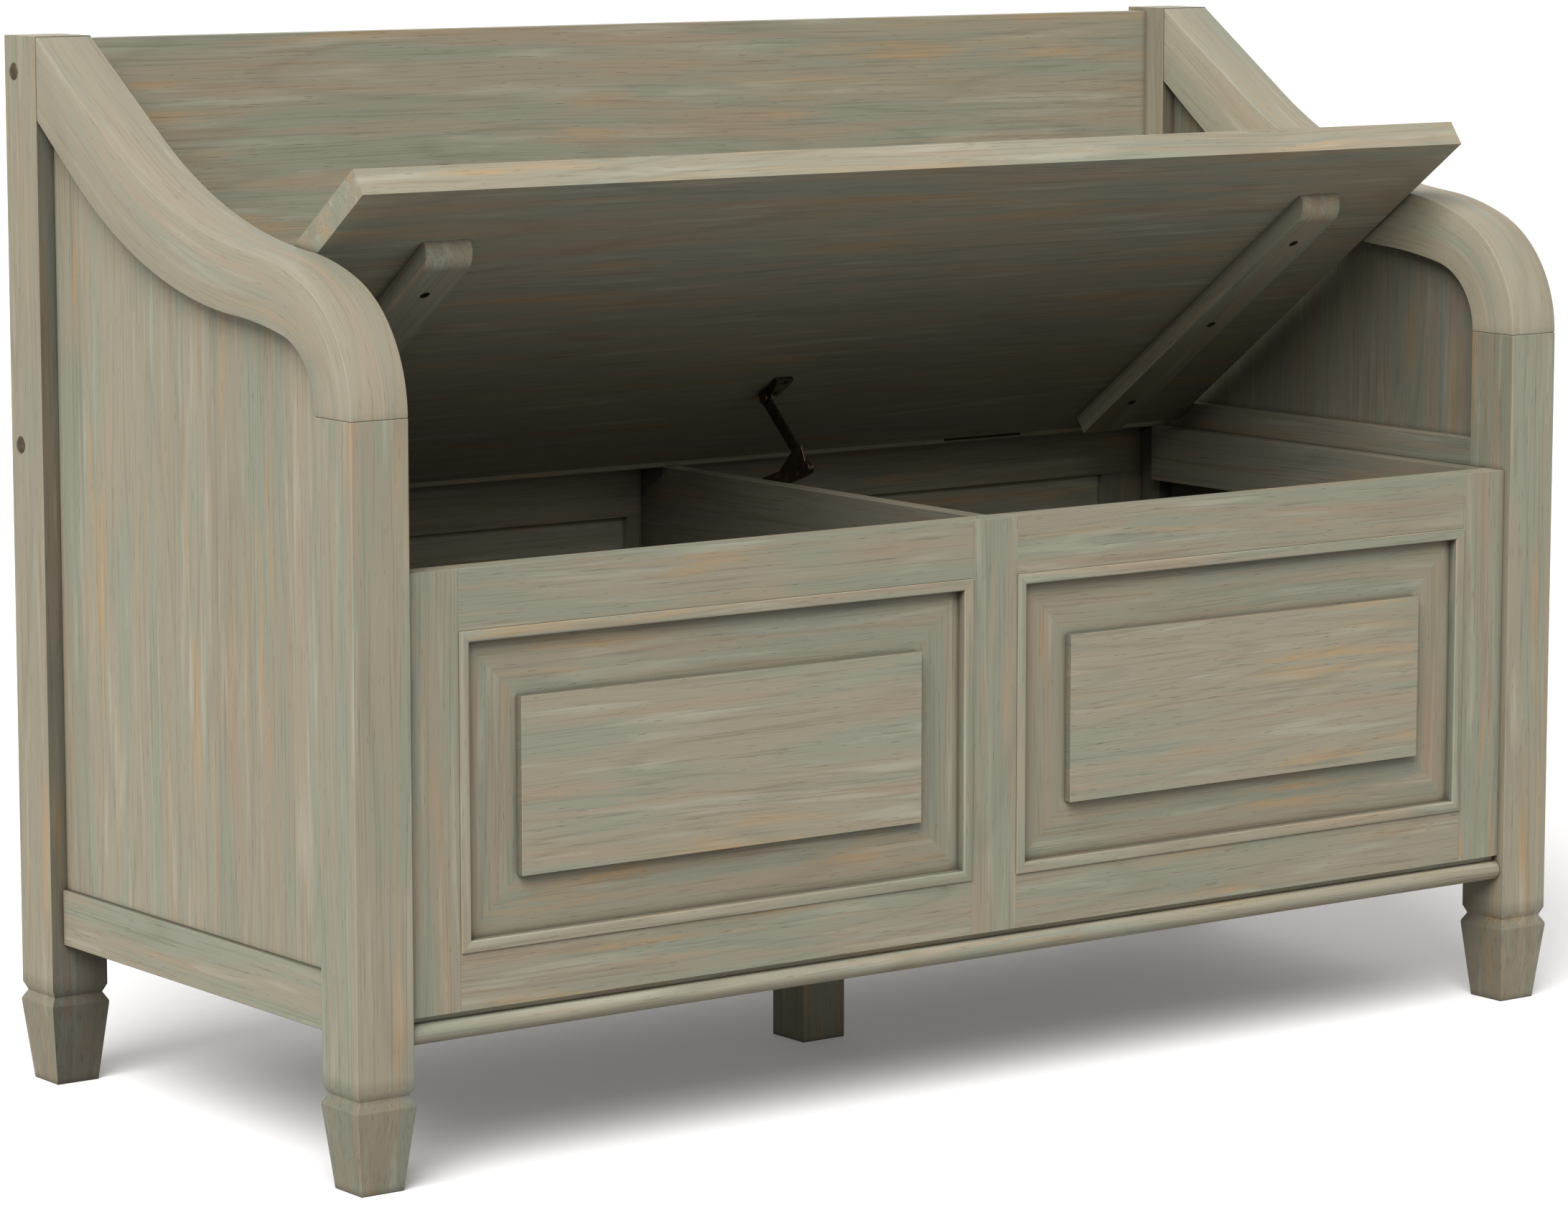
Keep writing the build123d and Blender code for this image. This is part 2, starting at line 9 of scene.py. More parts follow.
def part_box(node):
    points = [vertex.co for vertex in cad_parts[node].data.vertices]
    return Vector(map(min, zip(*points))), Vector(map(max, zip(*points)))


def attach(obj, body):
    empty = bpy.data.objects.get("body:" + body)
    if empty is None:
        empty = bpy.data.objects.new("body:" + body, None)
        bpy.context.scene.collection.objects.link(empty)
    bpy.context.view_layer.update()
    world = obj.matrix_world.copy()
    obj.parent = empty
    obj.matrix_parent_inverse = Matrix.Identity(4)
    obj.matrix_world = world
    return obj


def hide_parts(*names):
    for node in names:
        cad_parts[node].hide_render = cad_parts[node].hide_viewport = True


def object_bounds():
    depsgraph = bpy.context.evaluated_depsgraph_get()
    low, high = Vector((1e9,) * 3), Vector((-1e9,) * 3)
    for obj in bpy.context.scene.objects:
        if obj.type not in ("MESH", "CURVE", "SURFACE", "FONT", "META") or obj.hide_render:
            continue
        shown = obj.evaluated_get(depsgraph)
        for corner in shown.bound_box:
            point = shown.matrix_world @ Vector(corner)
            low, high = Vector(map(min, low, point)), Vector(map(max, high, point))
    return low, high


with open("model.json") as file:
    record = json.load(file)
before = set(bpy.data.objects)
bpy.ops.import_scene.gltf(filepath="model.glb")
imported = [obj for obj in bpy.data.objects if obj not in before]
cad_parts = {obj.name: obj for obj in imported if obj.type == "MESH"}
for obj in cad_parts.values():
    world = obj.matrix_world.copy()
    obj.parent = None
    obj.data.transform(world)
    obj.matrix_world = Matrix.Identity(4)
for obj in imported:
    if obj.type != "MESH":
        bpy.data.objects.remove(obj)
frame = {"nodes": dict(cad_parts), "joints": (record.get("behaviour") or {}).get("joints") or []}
nodes = frame["nodes"]
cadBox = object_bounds()
boxLow, boxHigh = cadBox
mm = 0.001
# the lid leans back by the part of its swing that lies below its rest place
lidHinge = [joint for joint in frame["joints"] if joint["name"] == "lid_hinge"][0]
lidLean = math.radians(abs(lidHinge["range_deg"][0]))
lidPin = Vector(lidHinge["pos_m"])
print("frame loaded,", len(nodes), "nodes")


# Camera: a long lens at the front left corner, a little above the arms
camera = {
    "turn": 36.458,
    "tilt": 8.085,
    "distance": 4.0318,
    "lens": 126.39,
    "sensor": 36,
    "clip": 200,
    "aimRight": -0.0182,
    "aimUp": -0.0510,
}


def addCamera():
    turn = math.radians(camera["turn"])
    tilt = math.radians(camera["tilt"])
    forward = Vector((
        math.sin(turn) * math.cos(tilt),
        math.cos(turn) * math.cos(tilt),
        -math.sin(tilt),
    ))
    right = Vector((math.cos(turn), -math.sin(turn), 0))
    up = right.cross(forward)
    aim = Vector((0, 0, boxHigh.z / 2)) + right * camera["aimRight"] + up * camera["aimUp"]
    data = bpy.data.cameras.new("benchCamera")
    data.lens = camera["lens"]
    data.sensor_width = camera["sensor"]
    data.clip_end = camera["clip"]
    made = bpy.data.objects.new("benchCamera", data)
    bpy.context.scene.collection.objects.link(made)
    made.location = aim - forward * camera["distance"]
    made.rotation_euler = forward.to_track_quat("-Z", "Y").to_euler()
    bpy.context.scene.camera = made


# Light: a bright even room, one wide soft lamp from above the front left,
# and a dim one low behind the right so that the back isn't lost
studio = {
    "roomStrength": 0.38,
    "roomColour": (1.0, 1.0, 1.0),
    "lampStrength": 3.6,
    "lampSoftness": 42.0,
    "lampFrom": (-0.57, -0.44, 0.70),
    "backStrength": 0.9,
    "backSoftness": 70.0,
    "backFrom": (0.50, 0.80, 0.32),
    "floorSize": 90.0,
    "floorColour": (0.93, 0.92, 0.92),
    "floorRough": 0.9,
    "floorGlow": 0.10,
    "glowColour": (1.0, 0.97, 0.95),
    "floorBounce": (0.38, 0.375, 0.37),
}


def addStudio():
    world = bpy.data.worlds.new("room")
    bpy.context.scene.world = world
    world.use_nodes = True
    room = world.node_tree
    background = room.nodes["Background"]
    background.inputs["Color"].default_value = (*studio["roomColour"], 1)
    # the walls look white, but light the bench less than they look
    seen = put(room, "LightPath").outputs["Is Camera Ray"]
    spare = maths(room, "MULTIPLY", seen, 1.0 - studio["roomStrength"])
    strength = maths(room, "ADD", spare, studio["roomStrength"])
    room.links.new(strength, background.inputs["Strength"])
    for name in ("lamp", "back"):
        light = bpy.data.lights.new(name + "Light", "SUN")
        light.energy = studio[name + "Strength"]
        light.angle = math.radians(studio[name + "Softness"])
        made = bpy.data.objects.new(name + "Light", light)
        bpy.context.scene.collection.objects.link(made)
        made.rotation_euler = Vector(studio[name + "From"]).to_track_quat("Z", "Y").to_euler()
    bpy.context.scene.view_settings.view_transform = "Standard"
    print("studio lit")


# Small helpers for building shader trees
def put(tree, kind, inputs=None, **settings):
    made = tree.nodes.new("ShaderNode" + kind)
    for name, value in settings.items():
        setattr(made, name, value)
    for socket, value in (inputs or {}).items():
        if isinstance(value, bpy.types.NodeSocket):
            tree.links.new(value, made.inputs[socket])
        else:
            made.inputs[socket].default_value = value
    return made


def maths(tree, operation, first, second=0.0):
    return put(tree, "Math", {0: first, 1: second}, operation=operation).outputs[0]


def inverse(tree, value):
    # the other way round: 1 where a mask is 0
    return maths(tree, "SUBTRACT", 1.0, value)


def mask(tree, value, low, high):
    # 0 up to low, 1 from high on, and a smooth step between
    sockets = {"Value": value, "From Min": low, "From Max": high}
    return put(tree, "MapRange", sockets, interpolation_type="SMOOTHSTEP").outputs[0]


def allOf(tree, masks):
    # 1 where every one of the masks is 1
    found = masks[0]
    for each in masks[1:]:
        found = maths(tree, "MULTIPLY", found, each)
    return found


def coordinate(tree, axis, source="Object"):
    # a place or a normal, along one axis
    return put(tree, "SeparateXYZ", {0: put(tree, "TexCoord").outputs[source]}).outputs[axis]


def lookingAlong(tree, axis, way, least=0.6):
    # 1 on faces that look along an axis: way is 1 or -1, and least is how squarely
    facing = maths(tree, "MULTIPLY", coordinate(tree, axis, "Normal"), way)
    return maths(tree, "GREATER_THAN", facing, least)


def mixColours(tree, factor, first, second, blend="MIX"):
    sockets = {0: factor, 6: first, 7: second}
    return put(tree, "Mix", sockets, data_type="RGBA", blend_type=blend).outputs[2]


def speckle(tree, place, scale, detail):
    return put(tree, "TexNoise", {"Vector": place, "Scale": scale, "Detail": detail}).outputs[0]


def display(red, green, blue):
    # a colour picked on a display, as the shader wants it
    shares = [value / 255 for value in (red, green, blue)]
    curved = [s / 12.92 if s <= 0.04045 else ((s + 0.055) / 1.055) ** 2.4 for s in shares]
    return (*curved, 1.0)


def newGroup(name, inputs, outputs):
    group = bpy.data.node_groups.new(name, "ShaderNodeTree")
    for label, kind, value in inputs:
        socket = group.interface.new_socket(label, in_out="INPUT", socket_type=kind)
        if value is not None:
            socket.default_value = value
    for label, kind in outputs:
        group.interface.new_socket(label, in_out="OUTPUT", socket_type=kind)
    return group, group.nodes.new("NodeGroupInput"), group.nodes.new("NodeGroupOutput")


# The grain's layers: counts per metre along and across the grain, detail, a place of its own
# in the noise, and the noise levels that it fades in between
layers = {
    "cool": {"along": 3.5, "across": 42, "detail": 3.0, "place": 3.1, "fade": (0.44, 0.62)},
    "warm": {"along": 4.5, "across": 76, "detail": 3.0, "place": 11.7, "fade": (0.50, 0.68)},
    "patch": {"along": 4.0, "across": 24, "detail": 1.0, "place": 21.3, "fade": (0.42, 0.62)},
    "worn": {"along": 7.0, "across": 95, "detail": 3.0, "place": 31.9, "fade": (0.50, 0.74)},
    "caught": {"along": 8.0, "across": 125, "detail": 3.5, "place": 41.1, "fade": (0.52, 0.76)},
    "ring": {"along": 1.3, "across": 16, "detail": 0.5, "place": 51.7, "fade": (0.36, 0.50)},
    "fibre": {"along": 8.0, "across": 700, "detail": 3.0, "place": 61.3, "fade": (0.50, 0.74)},
    "pore": {"along": 60.0, "across": 900, "detail": 1.0, "place": 71.9, "fade": (0.68, 0.76)},
}


def streaks(tree, vector, name):
    # noise drawn out along the grain
    layer = layers[name]
    place = layer["place"]
    sockets = {
        "Vector": vector,
        "Location": (place, place * 1.7, -place * 0.6),
        "Scale": (layer["along"], layer["across"], layer["across"]),
    }
    stretched = put(tree, "Mapping", sockets).outputs[0]
    noise = {"Vector": stretched, "Scale": 1.0, "Detail": layer["detail"]}
    return put(tree, "TexNoise", noise).outputs[0]


def faded(tree, noise, name):
    return mask(tree, noise, *layers[name]["fade"])


# The wash: a grey-green stain over pine, with ochre wood and pale wash left in the grain
washColours = {
    "neutral": (158, 151, 131),
    "cool": (150, 151, 134),
    "warm": (163, 149, 128),
    "ochre": (177, 152, 117),
    "pale": (177, 174, 155),
    "dark": (106, 98, 78),
    # painted shade: the dark colour laid into inside angles and creases
    "corner": (58, 51, 37),
}
wash = {
    "stripsPerMetre": 29.0,
    "stripJump": 60.0,
    "wanderScale": (3.2, 8.0, 8.0),
    "wanderDetail": 1.5,
    "wanderDepth": 0.013,
    "ringCount": 9.0,
    "ringDepth": 0.13,
    "fibreDepth": 0.36,
    "poreDepth": 0.35,
    "paleDepth": 0.7,
    # painted shade in inside angles: how far the occlusion looks, where it fades, its samples and how
    # dark it gets
    "cornerReach": 0.009,
    "cornerFade": (0.26, 0.86),
    "cornerSamples": 8,
    "cornerDepth": 0.66,
    # painted shade inside the chest: how much darker its walls are made, and how the divider's lit top
    # is kept out
    "insideShadeShare": 0.64,
    "insideMargin": 0.0008,
    "dividerReach": 0.02,
    "dividerLean": 0.5,
}
finish = {
    "rough": 0.50,
    "fibreRough": 0.20,
    "paleGloss": 0.06,
    "fibreRelief": 0.6,
    "poreRelief": 0.5,
    "bumpDepth": 0.00022,
    "specular": 0.32,
}

# The chest's inside, where shade is painted: between the seat rails, and from the front frame to the
# backrest
insideLow = Vector((
    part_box("left_seat_rail")[0].x,
    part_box("front_centre_stile")[1].y,
    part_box("bottom_board")[1].z,
))
insideHigh = Vector((
    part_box("right_seat_rail")[1].x,
    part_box("backrest_board")[0].y,
    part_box("divider")[1].z,
))


def insideShadeMask(tree):
    # 1 on every wall of the chest's inside, which gets painted shade, but the top edge of the divider,
    # which the lamp lights
    margin = wash["insideMargin"]
    bounds = []
    for axis, low, high in zip("XYZ", insideLow, insideHigh):
        bounds.append(maths(tree, "GREATER_THAN", coordinate(tree, axis), low - margin))
        bounds.append(maths(tree, "LESS_THAN", coordinate(tree, axis), high + margin))
    reach = wash["dividerReach"]
    aside = maths(tree, "ABSOLUTE", coordinate(tree, "X"))
    top = allOf(tree, [
        lookingAlong(tree, "Z", 1, wash["dividerLean"]),
        maths(tree, "LESS_THAN", aside, reach),
        maths(tree, "GREATER_THAN", coordinate(tree, "Z"), insideHigh.z - reach),
    ])
    return allOf(tree, bounds + [inverse(tree, top)])


def buildWash():
    tree, given, out = newGroup(
        "pineWash",
        [
            ("Grain", "NodeSocketVector", None),
            ("Tone", "NodeSocketFloat", 1.0),
            ("Ochre", "NodeSocketFloat", 1.0),
            ("Streaks", "NodeSocketFloat", 1.0),
            ("Strips", "NodeSocketFloat", 0.0),
            ("Corners", "NodeSocketFloat", 1.0),
        ],
        [
            ("Color", "NodeSocketColor"),
            ("Roughness", "NodeSocketFloat"),
            ("Height", "NodeSocketFloat"),
        ],
    )
    colour = {name: display(*value) for name, value in washColours.items()}
    grain = given.outputs["Grain"]
    # glued-up strips: each has its own stretch of grain, and is a little lighter or darker than the next
    split = put(tree, "SeparateXYZ", {0: grain})
    number = maths(tree, "FLOOR", maths(tree, "MULTIPLY", split.outputs["Y"], wash["stripsPerMetre"]))
    pick = put(tree, "TexWhiteNoise", {"W": number}, noise_dimensions="1D").outputs["Value"]
    jump = maths(tree, "MULTIPLY", pick, given.outputs["Strips"])
    jump = maths(tree, "MULTIPLY", jump, wash["stripJump"])
    slide = put(tree, "CombineXYZ", {0: jump, 1: 0.0, 2: jump}).outputs[0]
    grain = put(tree, "VectorMath", {0: grain, 1: slide}, operation="ADD").outputs[0]
    # slow wander, so that the streaks flow instead of running dead straight
    slow = put(tree, "Mapping", {"Vector": grain, "Scale": wash["wanderScale"]}).outputs[0]
    noise = {"Vector": slow, "Scale": 1.0, "Detail": wash["wanderDetail"]}
    drift = put(tree, "TexNoise", noise).outputs["Color"]
    centred = put(tree, "VectorMath", {0: drift, 1: (0.5, 0.5, 0.5)}, operation="SUBTRACT")
    sideways = (0.0, wash["wanderDepth"], wash["wanderDepth"])
    shift = put(tree, "VectorMath", {0: centred.outputs[0], 1: sideways}, operation="MULTIPLY")
    flow = put(tree, "VectorMath", {0: grain, 1: shift.outputs[0]}, operation="ADD").outputs[0]

    # broad bands of cool and warm stain
    cool = faded(tree, streaks(tree, flow, "cool"), "cool")
    warm = faded(tree, streaks(tree, flow, "warm"), "warm")
    tint = mixColours(tree, cool, colour["neutral"], colour["cool"])
    tint = mixColours(tree, warm, tint, colour["warm"])

    # bare ochre wood where the wash has worn, in patches
    patch = faded(tree, streaks(tree, flow, "patch"), "patch")
    worn = faded(tree, streaks(tree, flow, "worn"), "worn")
    ochre = maths(tree, "MULTIPLY", maths(tree, "MULTIPLY", patch, worn), given.outputs["Ochre"])
    tint = mixColours(tree, ochre, tint, colour["ochre"])

    # pale wash caught in the open grain
    caught = faded(tree, streaks(tree, flow, "caught"), "caught")
    pale = maths(tree, "MULTIPLY", caught, wash["paleDepth"])
    tint = mixColours(tree, pale, tint, colour["pale"])

    # growth rings show as thin dark lines that follow the contours of a slow noise
    ring = maths(tree, "MULTIPLY", streaks(tree, flow, "ring"), wash["ringCount"])
    ring = maths(tree, "ABSOLUTE", maths(tree, "SUBTRACT", maths(tree, "FRACT", ring), 0.5))
    ring = maths(tree, "MULTIPLY", faded(tree, ring, "ring"), wash["ringDepth"])
    tint = mixColours(tree, ring, tint, colour["dark"])

    # fine fibres and short pores
    fibre = streaks(tree, flow, "fibre")
    pore = faded(tree, streaks(tree, grain, "pore"), "pore")
    for found, depth in ((faded(tree, fibre, "fibre"), "fibreDepth"), (pore, "poreDepth")):
        tint = mixColours(tree, maths(tree, "MULTIPLY", found, wash[depth]), tint, colour["dark"])

    change = maths(tree, "MULTIPLY", maths(tree, "SUBTRACT", pick, 0.5), given.outputs["Strips"])
    tone = maths(tree, "ADD", given.outputs["Tone"], change)
    # painted shade: the chest's inside walls are darkened as if in the lid's shadow
    inside = maths(tree, "MULTIPLY", insideShadeMask(tree), 1.0 - wash["insideShadeShare"])
    tone = maths(tree, "MULTIPLY", tone, inverse(tree, inside))
    tint = mixColours(tree, given.outputs["Streaks"], colour["neutral"], tint)
    shade = put(tree, "CombineColor", {0: tone, 1: tone, 2: tone}).outputs[0]
    tint = mixColours(tree, 1.0, tint, shade, "MULTIPLY")

    # painted shade: the colour darkens in inside angles, creases and recesses, found by ambient
    # occlusion
    openness = put(tree, "AmbientOcclusion", {"Distance": wash["cornerReach"]})
    openness.samples = wash["cornerSamples"]
    closed = inverse(tree, mask(tree, openness.outputs["AO"], *wash["cornerFade"]))
    depth = maths(tree, "MULTIPLY", given.outputs["Corners"], wash["cornerDepth"])
    closed = maths(tree, "MULTIPLY", closed, depth)
    tint = mixColours(tree, closed, tint, colour["corner"])
    tree.links.new(tint, out.inputs["Color"])

    rough = maths(tree, "MULTIPLY", fibre, finish["fibreRough"])
    rough = maths(tree, "ADD", rough, finish["rough"])
    gloss = maths(tree, "MULTIPLY", caught, finish["paleGloss"])
    tree.links.new(maths(tree, "SUBTRACT", rough, gloss), out.inputs["Roughness"])
    relief = inverse(tree, maths(tree, "MULTIPLY", fibre, finish["fibreRelief"]))
    relief = maths(tree, "SUBTRACT", relief, maths(tree, "MULTIPLY", pore, finish["poreRelief"]))
    tree.links.new(maths(tree, "SUBTRACT", relief, ring), out.inputs["Height"])
    return tree


pineWash = buildWash()
boardSeeds = random.Random(11)

# Turns that lay a board's own grain along X, for each way a board can run
grainTurns = {
    "x": (0, 0, 0),
    "y": (0, 0, math.radians(-90)),
    "z": (0, math.radians(90), 0),
}


def newMaterial(name):
    material = bpy.data.materials.new(name)
    material.use_nodes = True
    tree = material.node_tree
    return material, tree, tree.nodes["Principled BSDF"]


def laidAlong(tree, source, turn, offset):
    sockets = {"Vector": source, "Rotation": turn, "Location": offset}
    return put(tree, "Mapping", sockets).outputs[0]


def washed(tree, shader, grain, tone=1.0, ochre=1.0, streak=1.0, strips=0.0, cornerShade=1.0):
    group = put(tree, "Group", node_tree=pineWash)
    tree.links.new(grain, group.inputs["Grain"])
    group.inputs["Tone"].default_value = tone
    group.inputs["Ochre"].default_value = ochre
    group.inputs["Streaks"].default_value = streak
    group.inputs["Strips"].default_value = strips
    group.inputs["Corners"].default_value = cornerShade
    tree.links.new(group.outputs["Color"], shader.inputs["Base Color"])
    tree.links.new(group.outputs["Roughness"], shader.inputs["Roughness"])
    bump = put(tree, "Bump", {"Height": group.outputs["Height"], "Distance": finish["bumpDepth"]})
    tree.links.new(bump.outputs[0], shader.inputs["Normal"])
    shader.inputs["Specular IOR Level"].default_value = finish["specular"]


def boardOffset():
    return tuple(boardSeeds.uniform(-9, 9) for axis in range(3))


def darker(tree, shader, where, share):
    # paint shade: darken what the wash gives, where the mask is 1
    plain = shader.inputs["Base Color"].links[0].from_socket
    level = inverse(tree, maths(tree, "MULTIPLY", where, share))
    shade = put(tree, "CombineColor", {0: level, 1: level, 2: level}).outputs[0]
    tree.links.new(mixColours(tree, 1.0, plain, shade, "MULTIPLY"), shader.inputs["Base Color"])


# Where the painted shade patches begin and end: heights and reaches in metres, and how squarely a face
# looks
patchPlaces = {
    "footFade": (0.070, 0.080),
    "slopeLean": 0.3,
    "slopeExtra": 0.6,
    "underLean": 0.3,
    "underReach": 0.36,
    "topFade": (0.0, 0.75),
}


def footShade(tree, shader, share):
    # painted shade low on the feet, darkest on the up-facing slope under the notch
    low = inverse(tree, mask(tree, coordinate(tree, "Z"), *patchPlaces["footFade"]))
    slope = lookingAlong(tree, "Z", 1, patchPlaces["slopeLean"])
    more = maths(tree, "ADD", maths(tree, "MULTIPLY", slope, patchPlaces["slopeExtra"]), 1.0)
    darker(tree, shader, maths(tree, "MULTIPLY", low, more), share)


def stepShade(tree, shader, share):
    # painted shade on the step walls round a raised field
    flat = maths(tree, "MAXIMUM", lookingAlong(tree, "Y", -1), lookingAlong(tree, "Y", 1))
    darker(tree, shader, inverse(tree, flat), share)


def innerShade(tree, shader, share):
    # painted shade on the face towards the seat, which lies in the lid's shadow
    left = maths(tree, "LESS_THAN", coordinate(tree, "X"), 0.0)
    right = inverse(tree, left)
    fromLeft = maths(tree, "MULTIPLY", left, lookingAlong(tree, "X", 1))
    fromRight = maths(tree, "MULTIPLY", right, lookingAlong(tree, "X", -1))
    darker(tree, shader, maths(tree, "ADD", fromLeft, fromRight), share)


def frontShade(tree, shader, share):
    # painted shade on the narrow front face of a rear post, tucked in beside the side panel
    darker(tree, shader, lookingAlong(tree, "Y", -1), share)


def underShade(tree, shader, share):
    # painted shade on the underside of the lid, darker towards the hinge
    rise = maths(tree, "SUBTRACT", coordinate(tree, "Z"), lidPin.z)
    run = maths(tree, "SUBTRACT", lidPin.y, coordinate(tree, "Y"))
    square = maths(tree, "ADD", maths(tree, "MULTIPLY", rise, rise), maths(tree, "MULTIPLY", run, run))
    reach = mask(tree, maths(tree, "SQRT", square), 0.0, patchPlaces["underReach"])
    near = inverse(tree, reach)
    under = lookingAlong(tree, "Z", -1, patchPlaces["underLean"])
    darker(tree, shader, maths(tree, "MULTIPLY", near, under), share)


def topShade(tree, shader, share):
    # painted shade on the up-facing top of an arm, to tone down how bright the lamp makes it
    up = mask(tree, coordinate(tree, "Z", "Normal"), *patchPlaces["topFade"])
    darker(tree, shader, up, share)


def ledgeShade(tree, shader, share):
    # painted shade on the narrow top of a side rail, below the step to the panel
    darker(tree, shader, lookingAlong(tree, "Z", 1), share)


patches = {
    "foot": footShade,
    "step": stepShade,
    "inner": innerShade,
    "front": frontShade,
    "under": underShade,
    "top": topShade,
    "ledge": ledgeShade,
}


def addPatches(tree, shader, look):
    # add each painted shade patch that a look names to the material
    for name, add in patches.items():
        if name in look:
            add(tree, shader, look[name])


def washOnly(look):
    # what is left of a look when its painted shade patches and its eased edges are taken out
    return {name: value for name, value in look.items() if name not in patches and name != "ease"}


def boardMaterial(name, turn, look):
    material, tree, shader = newMaterial(name)
    place = put(tree, "TexCoord").outputs["Object"]
    washed(tree, shader, laidAlong(tree, place, turn, boardOffset()), **washOnly(look))
    addPatches(tree, shader, look)
    return material


# How squarely a moulding's wall looks forwards, and how far in from its outer edge it begins
mitre = {"wallFade": (0.3, 0.8), "wallInset": 0.004}


def mitredMaterial(name, low, high, wallShade=0.0, **look):
    # the grain runs round a rectangle, and meets on a mitre at each corner
    material, tree, shader = newMaterial(name)
    place = put(tree, "TexCoord").outputs["Object"]
    centre = (low + high) / 2
    half = (high - low) / 2
    fromX = maths(tree, "ABSOLUTE", maths(tree, "SUBTRACT", coordinate(tree, "X"), centre.x))
    fromZ = maths(tree, "ABSOLUTE", maths(tree, "SUBTRACT", coordinate(tree, "Z"), centre.z))
    sideways = maths(tree, "SUBTRACT", fromX, half.x)
    upwards = maths(tree, "SUBTRACT", fromZ, half.z)
    upright = maths(tree, "GREATER_THAN", sideways, upwards)
    level = laidAlong(tree, place, grainTurns["x"], boardOffset())
    standing = laidAlong(tree, place, grainTurns["z"], boardOffset())
    grain = put(tree, "Mix", {0: upright, 4: level, 5: standing}, data_type="VECTOR").outputs[1]
    washed(tree, shader, grain, **look)
    if wallShade:
        # painted shade on the inner wall faces of the frame
        facing = maths(tree, "ABSOLUTE", coordinate(tree, "Y", "Normal"))
        step = inverse(tree, mask(tree, facing, *mitre["wallFade"]))
        outermost = maths(tree, "MAXIMUM", sideways, upwards)
        within = maths(tree, "LESS_THAN", outermost, -mitre["wallInset"])
        darker(tree, shader, maths(tree, "MULTIPLY", step, within), wallShade)
    return material


# Which way each board's grain runs, how far its edges are eased in millimetres, how its wash
# looks, and how much painted shade each patch lays on it
boards = {
    "x": {
        "front_left_top_rail": {"ease": 0.25, "tone": 0.94},
        "front_right_top_rail": {"ease": 0.25, "tone": 0.94},
        "front_left_bottom_rail": {"ease": 0.25, "tone": 0.94},
        "front_right_bottom_rail": {"ease": 0.25, "tone": 0.94},
        "left_raised_field": {"ease": 0.4, "tone": 1.0, "step": 0.45},
        "right_raised_field": {"ease": 0.4, "tone": 1.0, "step": 0.45},
        # painted light: the spacer strip's tone is raised and its painted shade in inside angles left
        # out, so that the shadow gap above the bullnose reads lighter
        "front_spacer_strip": {"ease": 0.2, "tone": 1.5, "cornerShade": 0.0},
        "bottom_board": {"ease": 0.5, "tone": 0.95, "ochre": 0.6},
        "backrest_board": {"ease": 0.8, "tone": 0.96},
        "rear_top_rail": {"ease": 0.3, "tone": 1.15},
        "rear_bottom_rail": {"ease": 0.3},
        "left_rear_panel": {"ease": 0.3},
        "right_rear_panel": {"ease": 0.3},
        "rear_seat_strip": {"ease": 0.5},
        "lid_board": {"ease": 1.0, "under": 0.44},
    },
    "y": {
        "left_side_bottom_rail": {"ease": 0.8, "ledge": 0.45},
        "right_side_bottom_rail": {"ease": 0.8, "ledge": 0.45},
        # painted shade: the seat rails, lid ledgers and divider stand inside the chest under the lid,
        # and their low tones darken them as if in its shadow
        "left_seat_rail": {"ease": 0.5, "tone": 0.56},
        "right_seat_rail": {"ease": 0.5, "tone": 0.56},
        "left_lid_ledger": {"ease": 0.5, "tone": 0.86},
        "right_lid_ledger": {"ease": 0.5, "tone": 0.86},
        "divider": {"ease": 0.5, "tone": 0.6},
    },
    "z": {
        "left_front_leg": {"ease": 0.7, "foot": 0.22, "inner": 0.28},
        "right_front_leg": {"ease": 0.7, "foot": 0.22, "inner": 0.28},
        "left_rear_post": {"ease": 0.7, "foot": 0.2, "inner": 0.2, "front": 0.57},
        "right_rear_post": {"ease": 0.7, "foot": 0.2, "inner": 0.2, "front": 0.57},
        "centre_leg": {"ease": 0.7, "foot": 0.1},
        "left_side_panel": {"ease": 0.5, "strips": 0.10, "inner": 0.5},
        "right_side_panel": {"ease": 0.5, "strips": 0.10, "inner": 0.5},
        "front_left_stile": {"ease": 0.25, "tone": 0.94},
        "front_right_stile": {"ease": 0.25, "tone": 0.94},
        "front_centre_stile": {"ease": 0.25, "tone": 0.94},
        "rear_left_stile": {"ease": 0.3},
        "rear_right_stile": {"ease": 0.3},
        "rear_centre_stile": {"ease": 0.3},
    },
}
mitredBoards = {
    "left_front_panel": {"ease": 0.2, "tone": 0.88},
    "right_front_panel": {"ease": 0.2, "tone": 0.88},
}
edges = {"joinWithin": 0.01 * mm, "flatWithin": 0.4, "sharpOver": 28.0, "steps": 2}


def easeEdges(piece, width):
    weld = piece.modifiers.new("join", "WELD")
    weld.merge_threshold = edges["joinWithin"]
    clean = piece.modifiers.new("flatten", "DECIMATE")
    clean.decimate_type = "DISSOLVE"
    clean.angle_limit = math.radians(edges["flatWithin"])
    bevel = piece.modifiers.new("easedEdges", "BEVEL")
    bevel.width = width * mm
    bevel.segments = edges["steps"]
    bevel.limit_method = "ANGLE"
    bevel.angle_limit = math.radians(edges["sharpOver"])
    bevel.use_clamp_overlap = True
    normals = piece.modifiers.new("evenNormals", "WEIGHTED_NORMAL")
    normals.keep_sharp = False


def dress(name, material):
    for slot in nodes[name].material_slots:
        slot.material = material


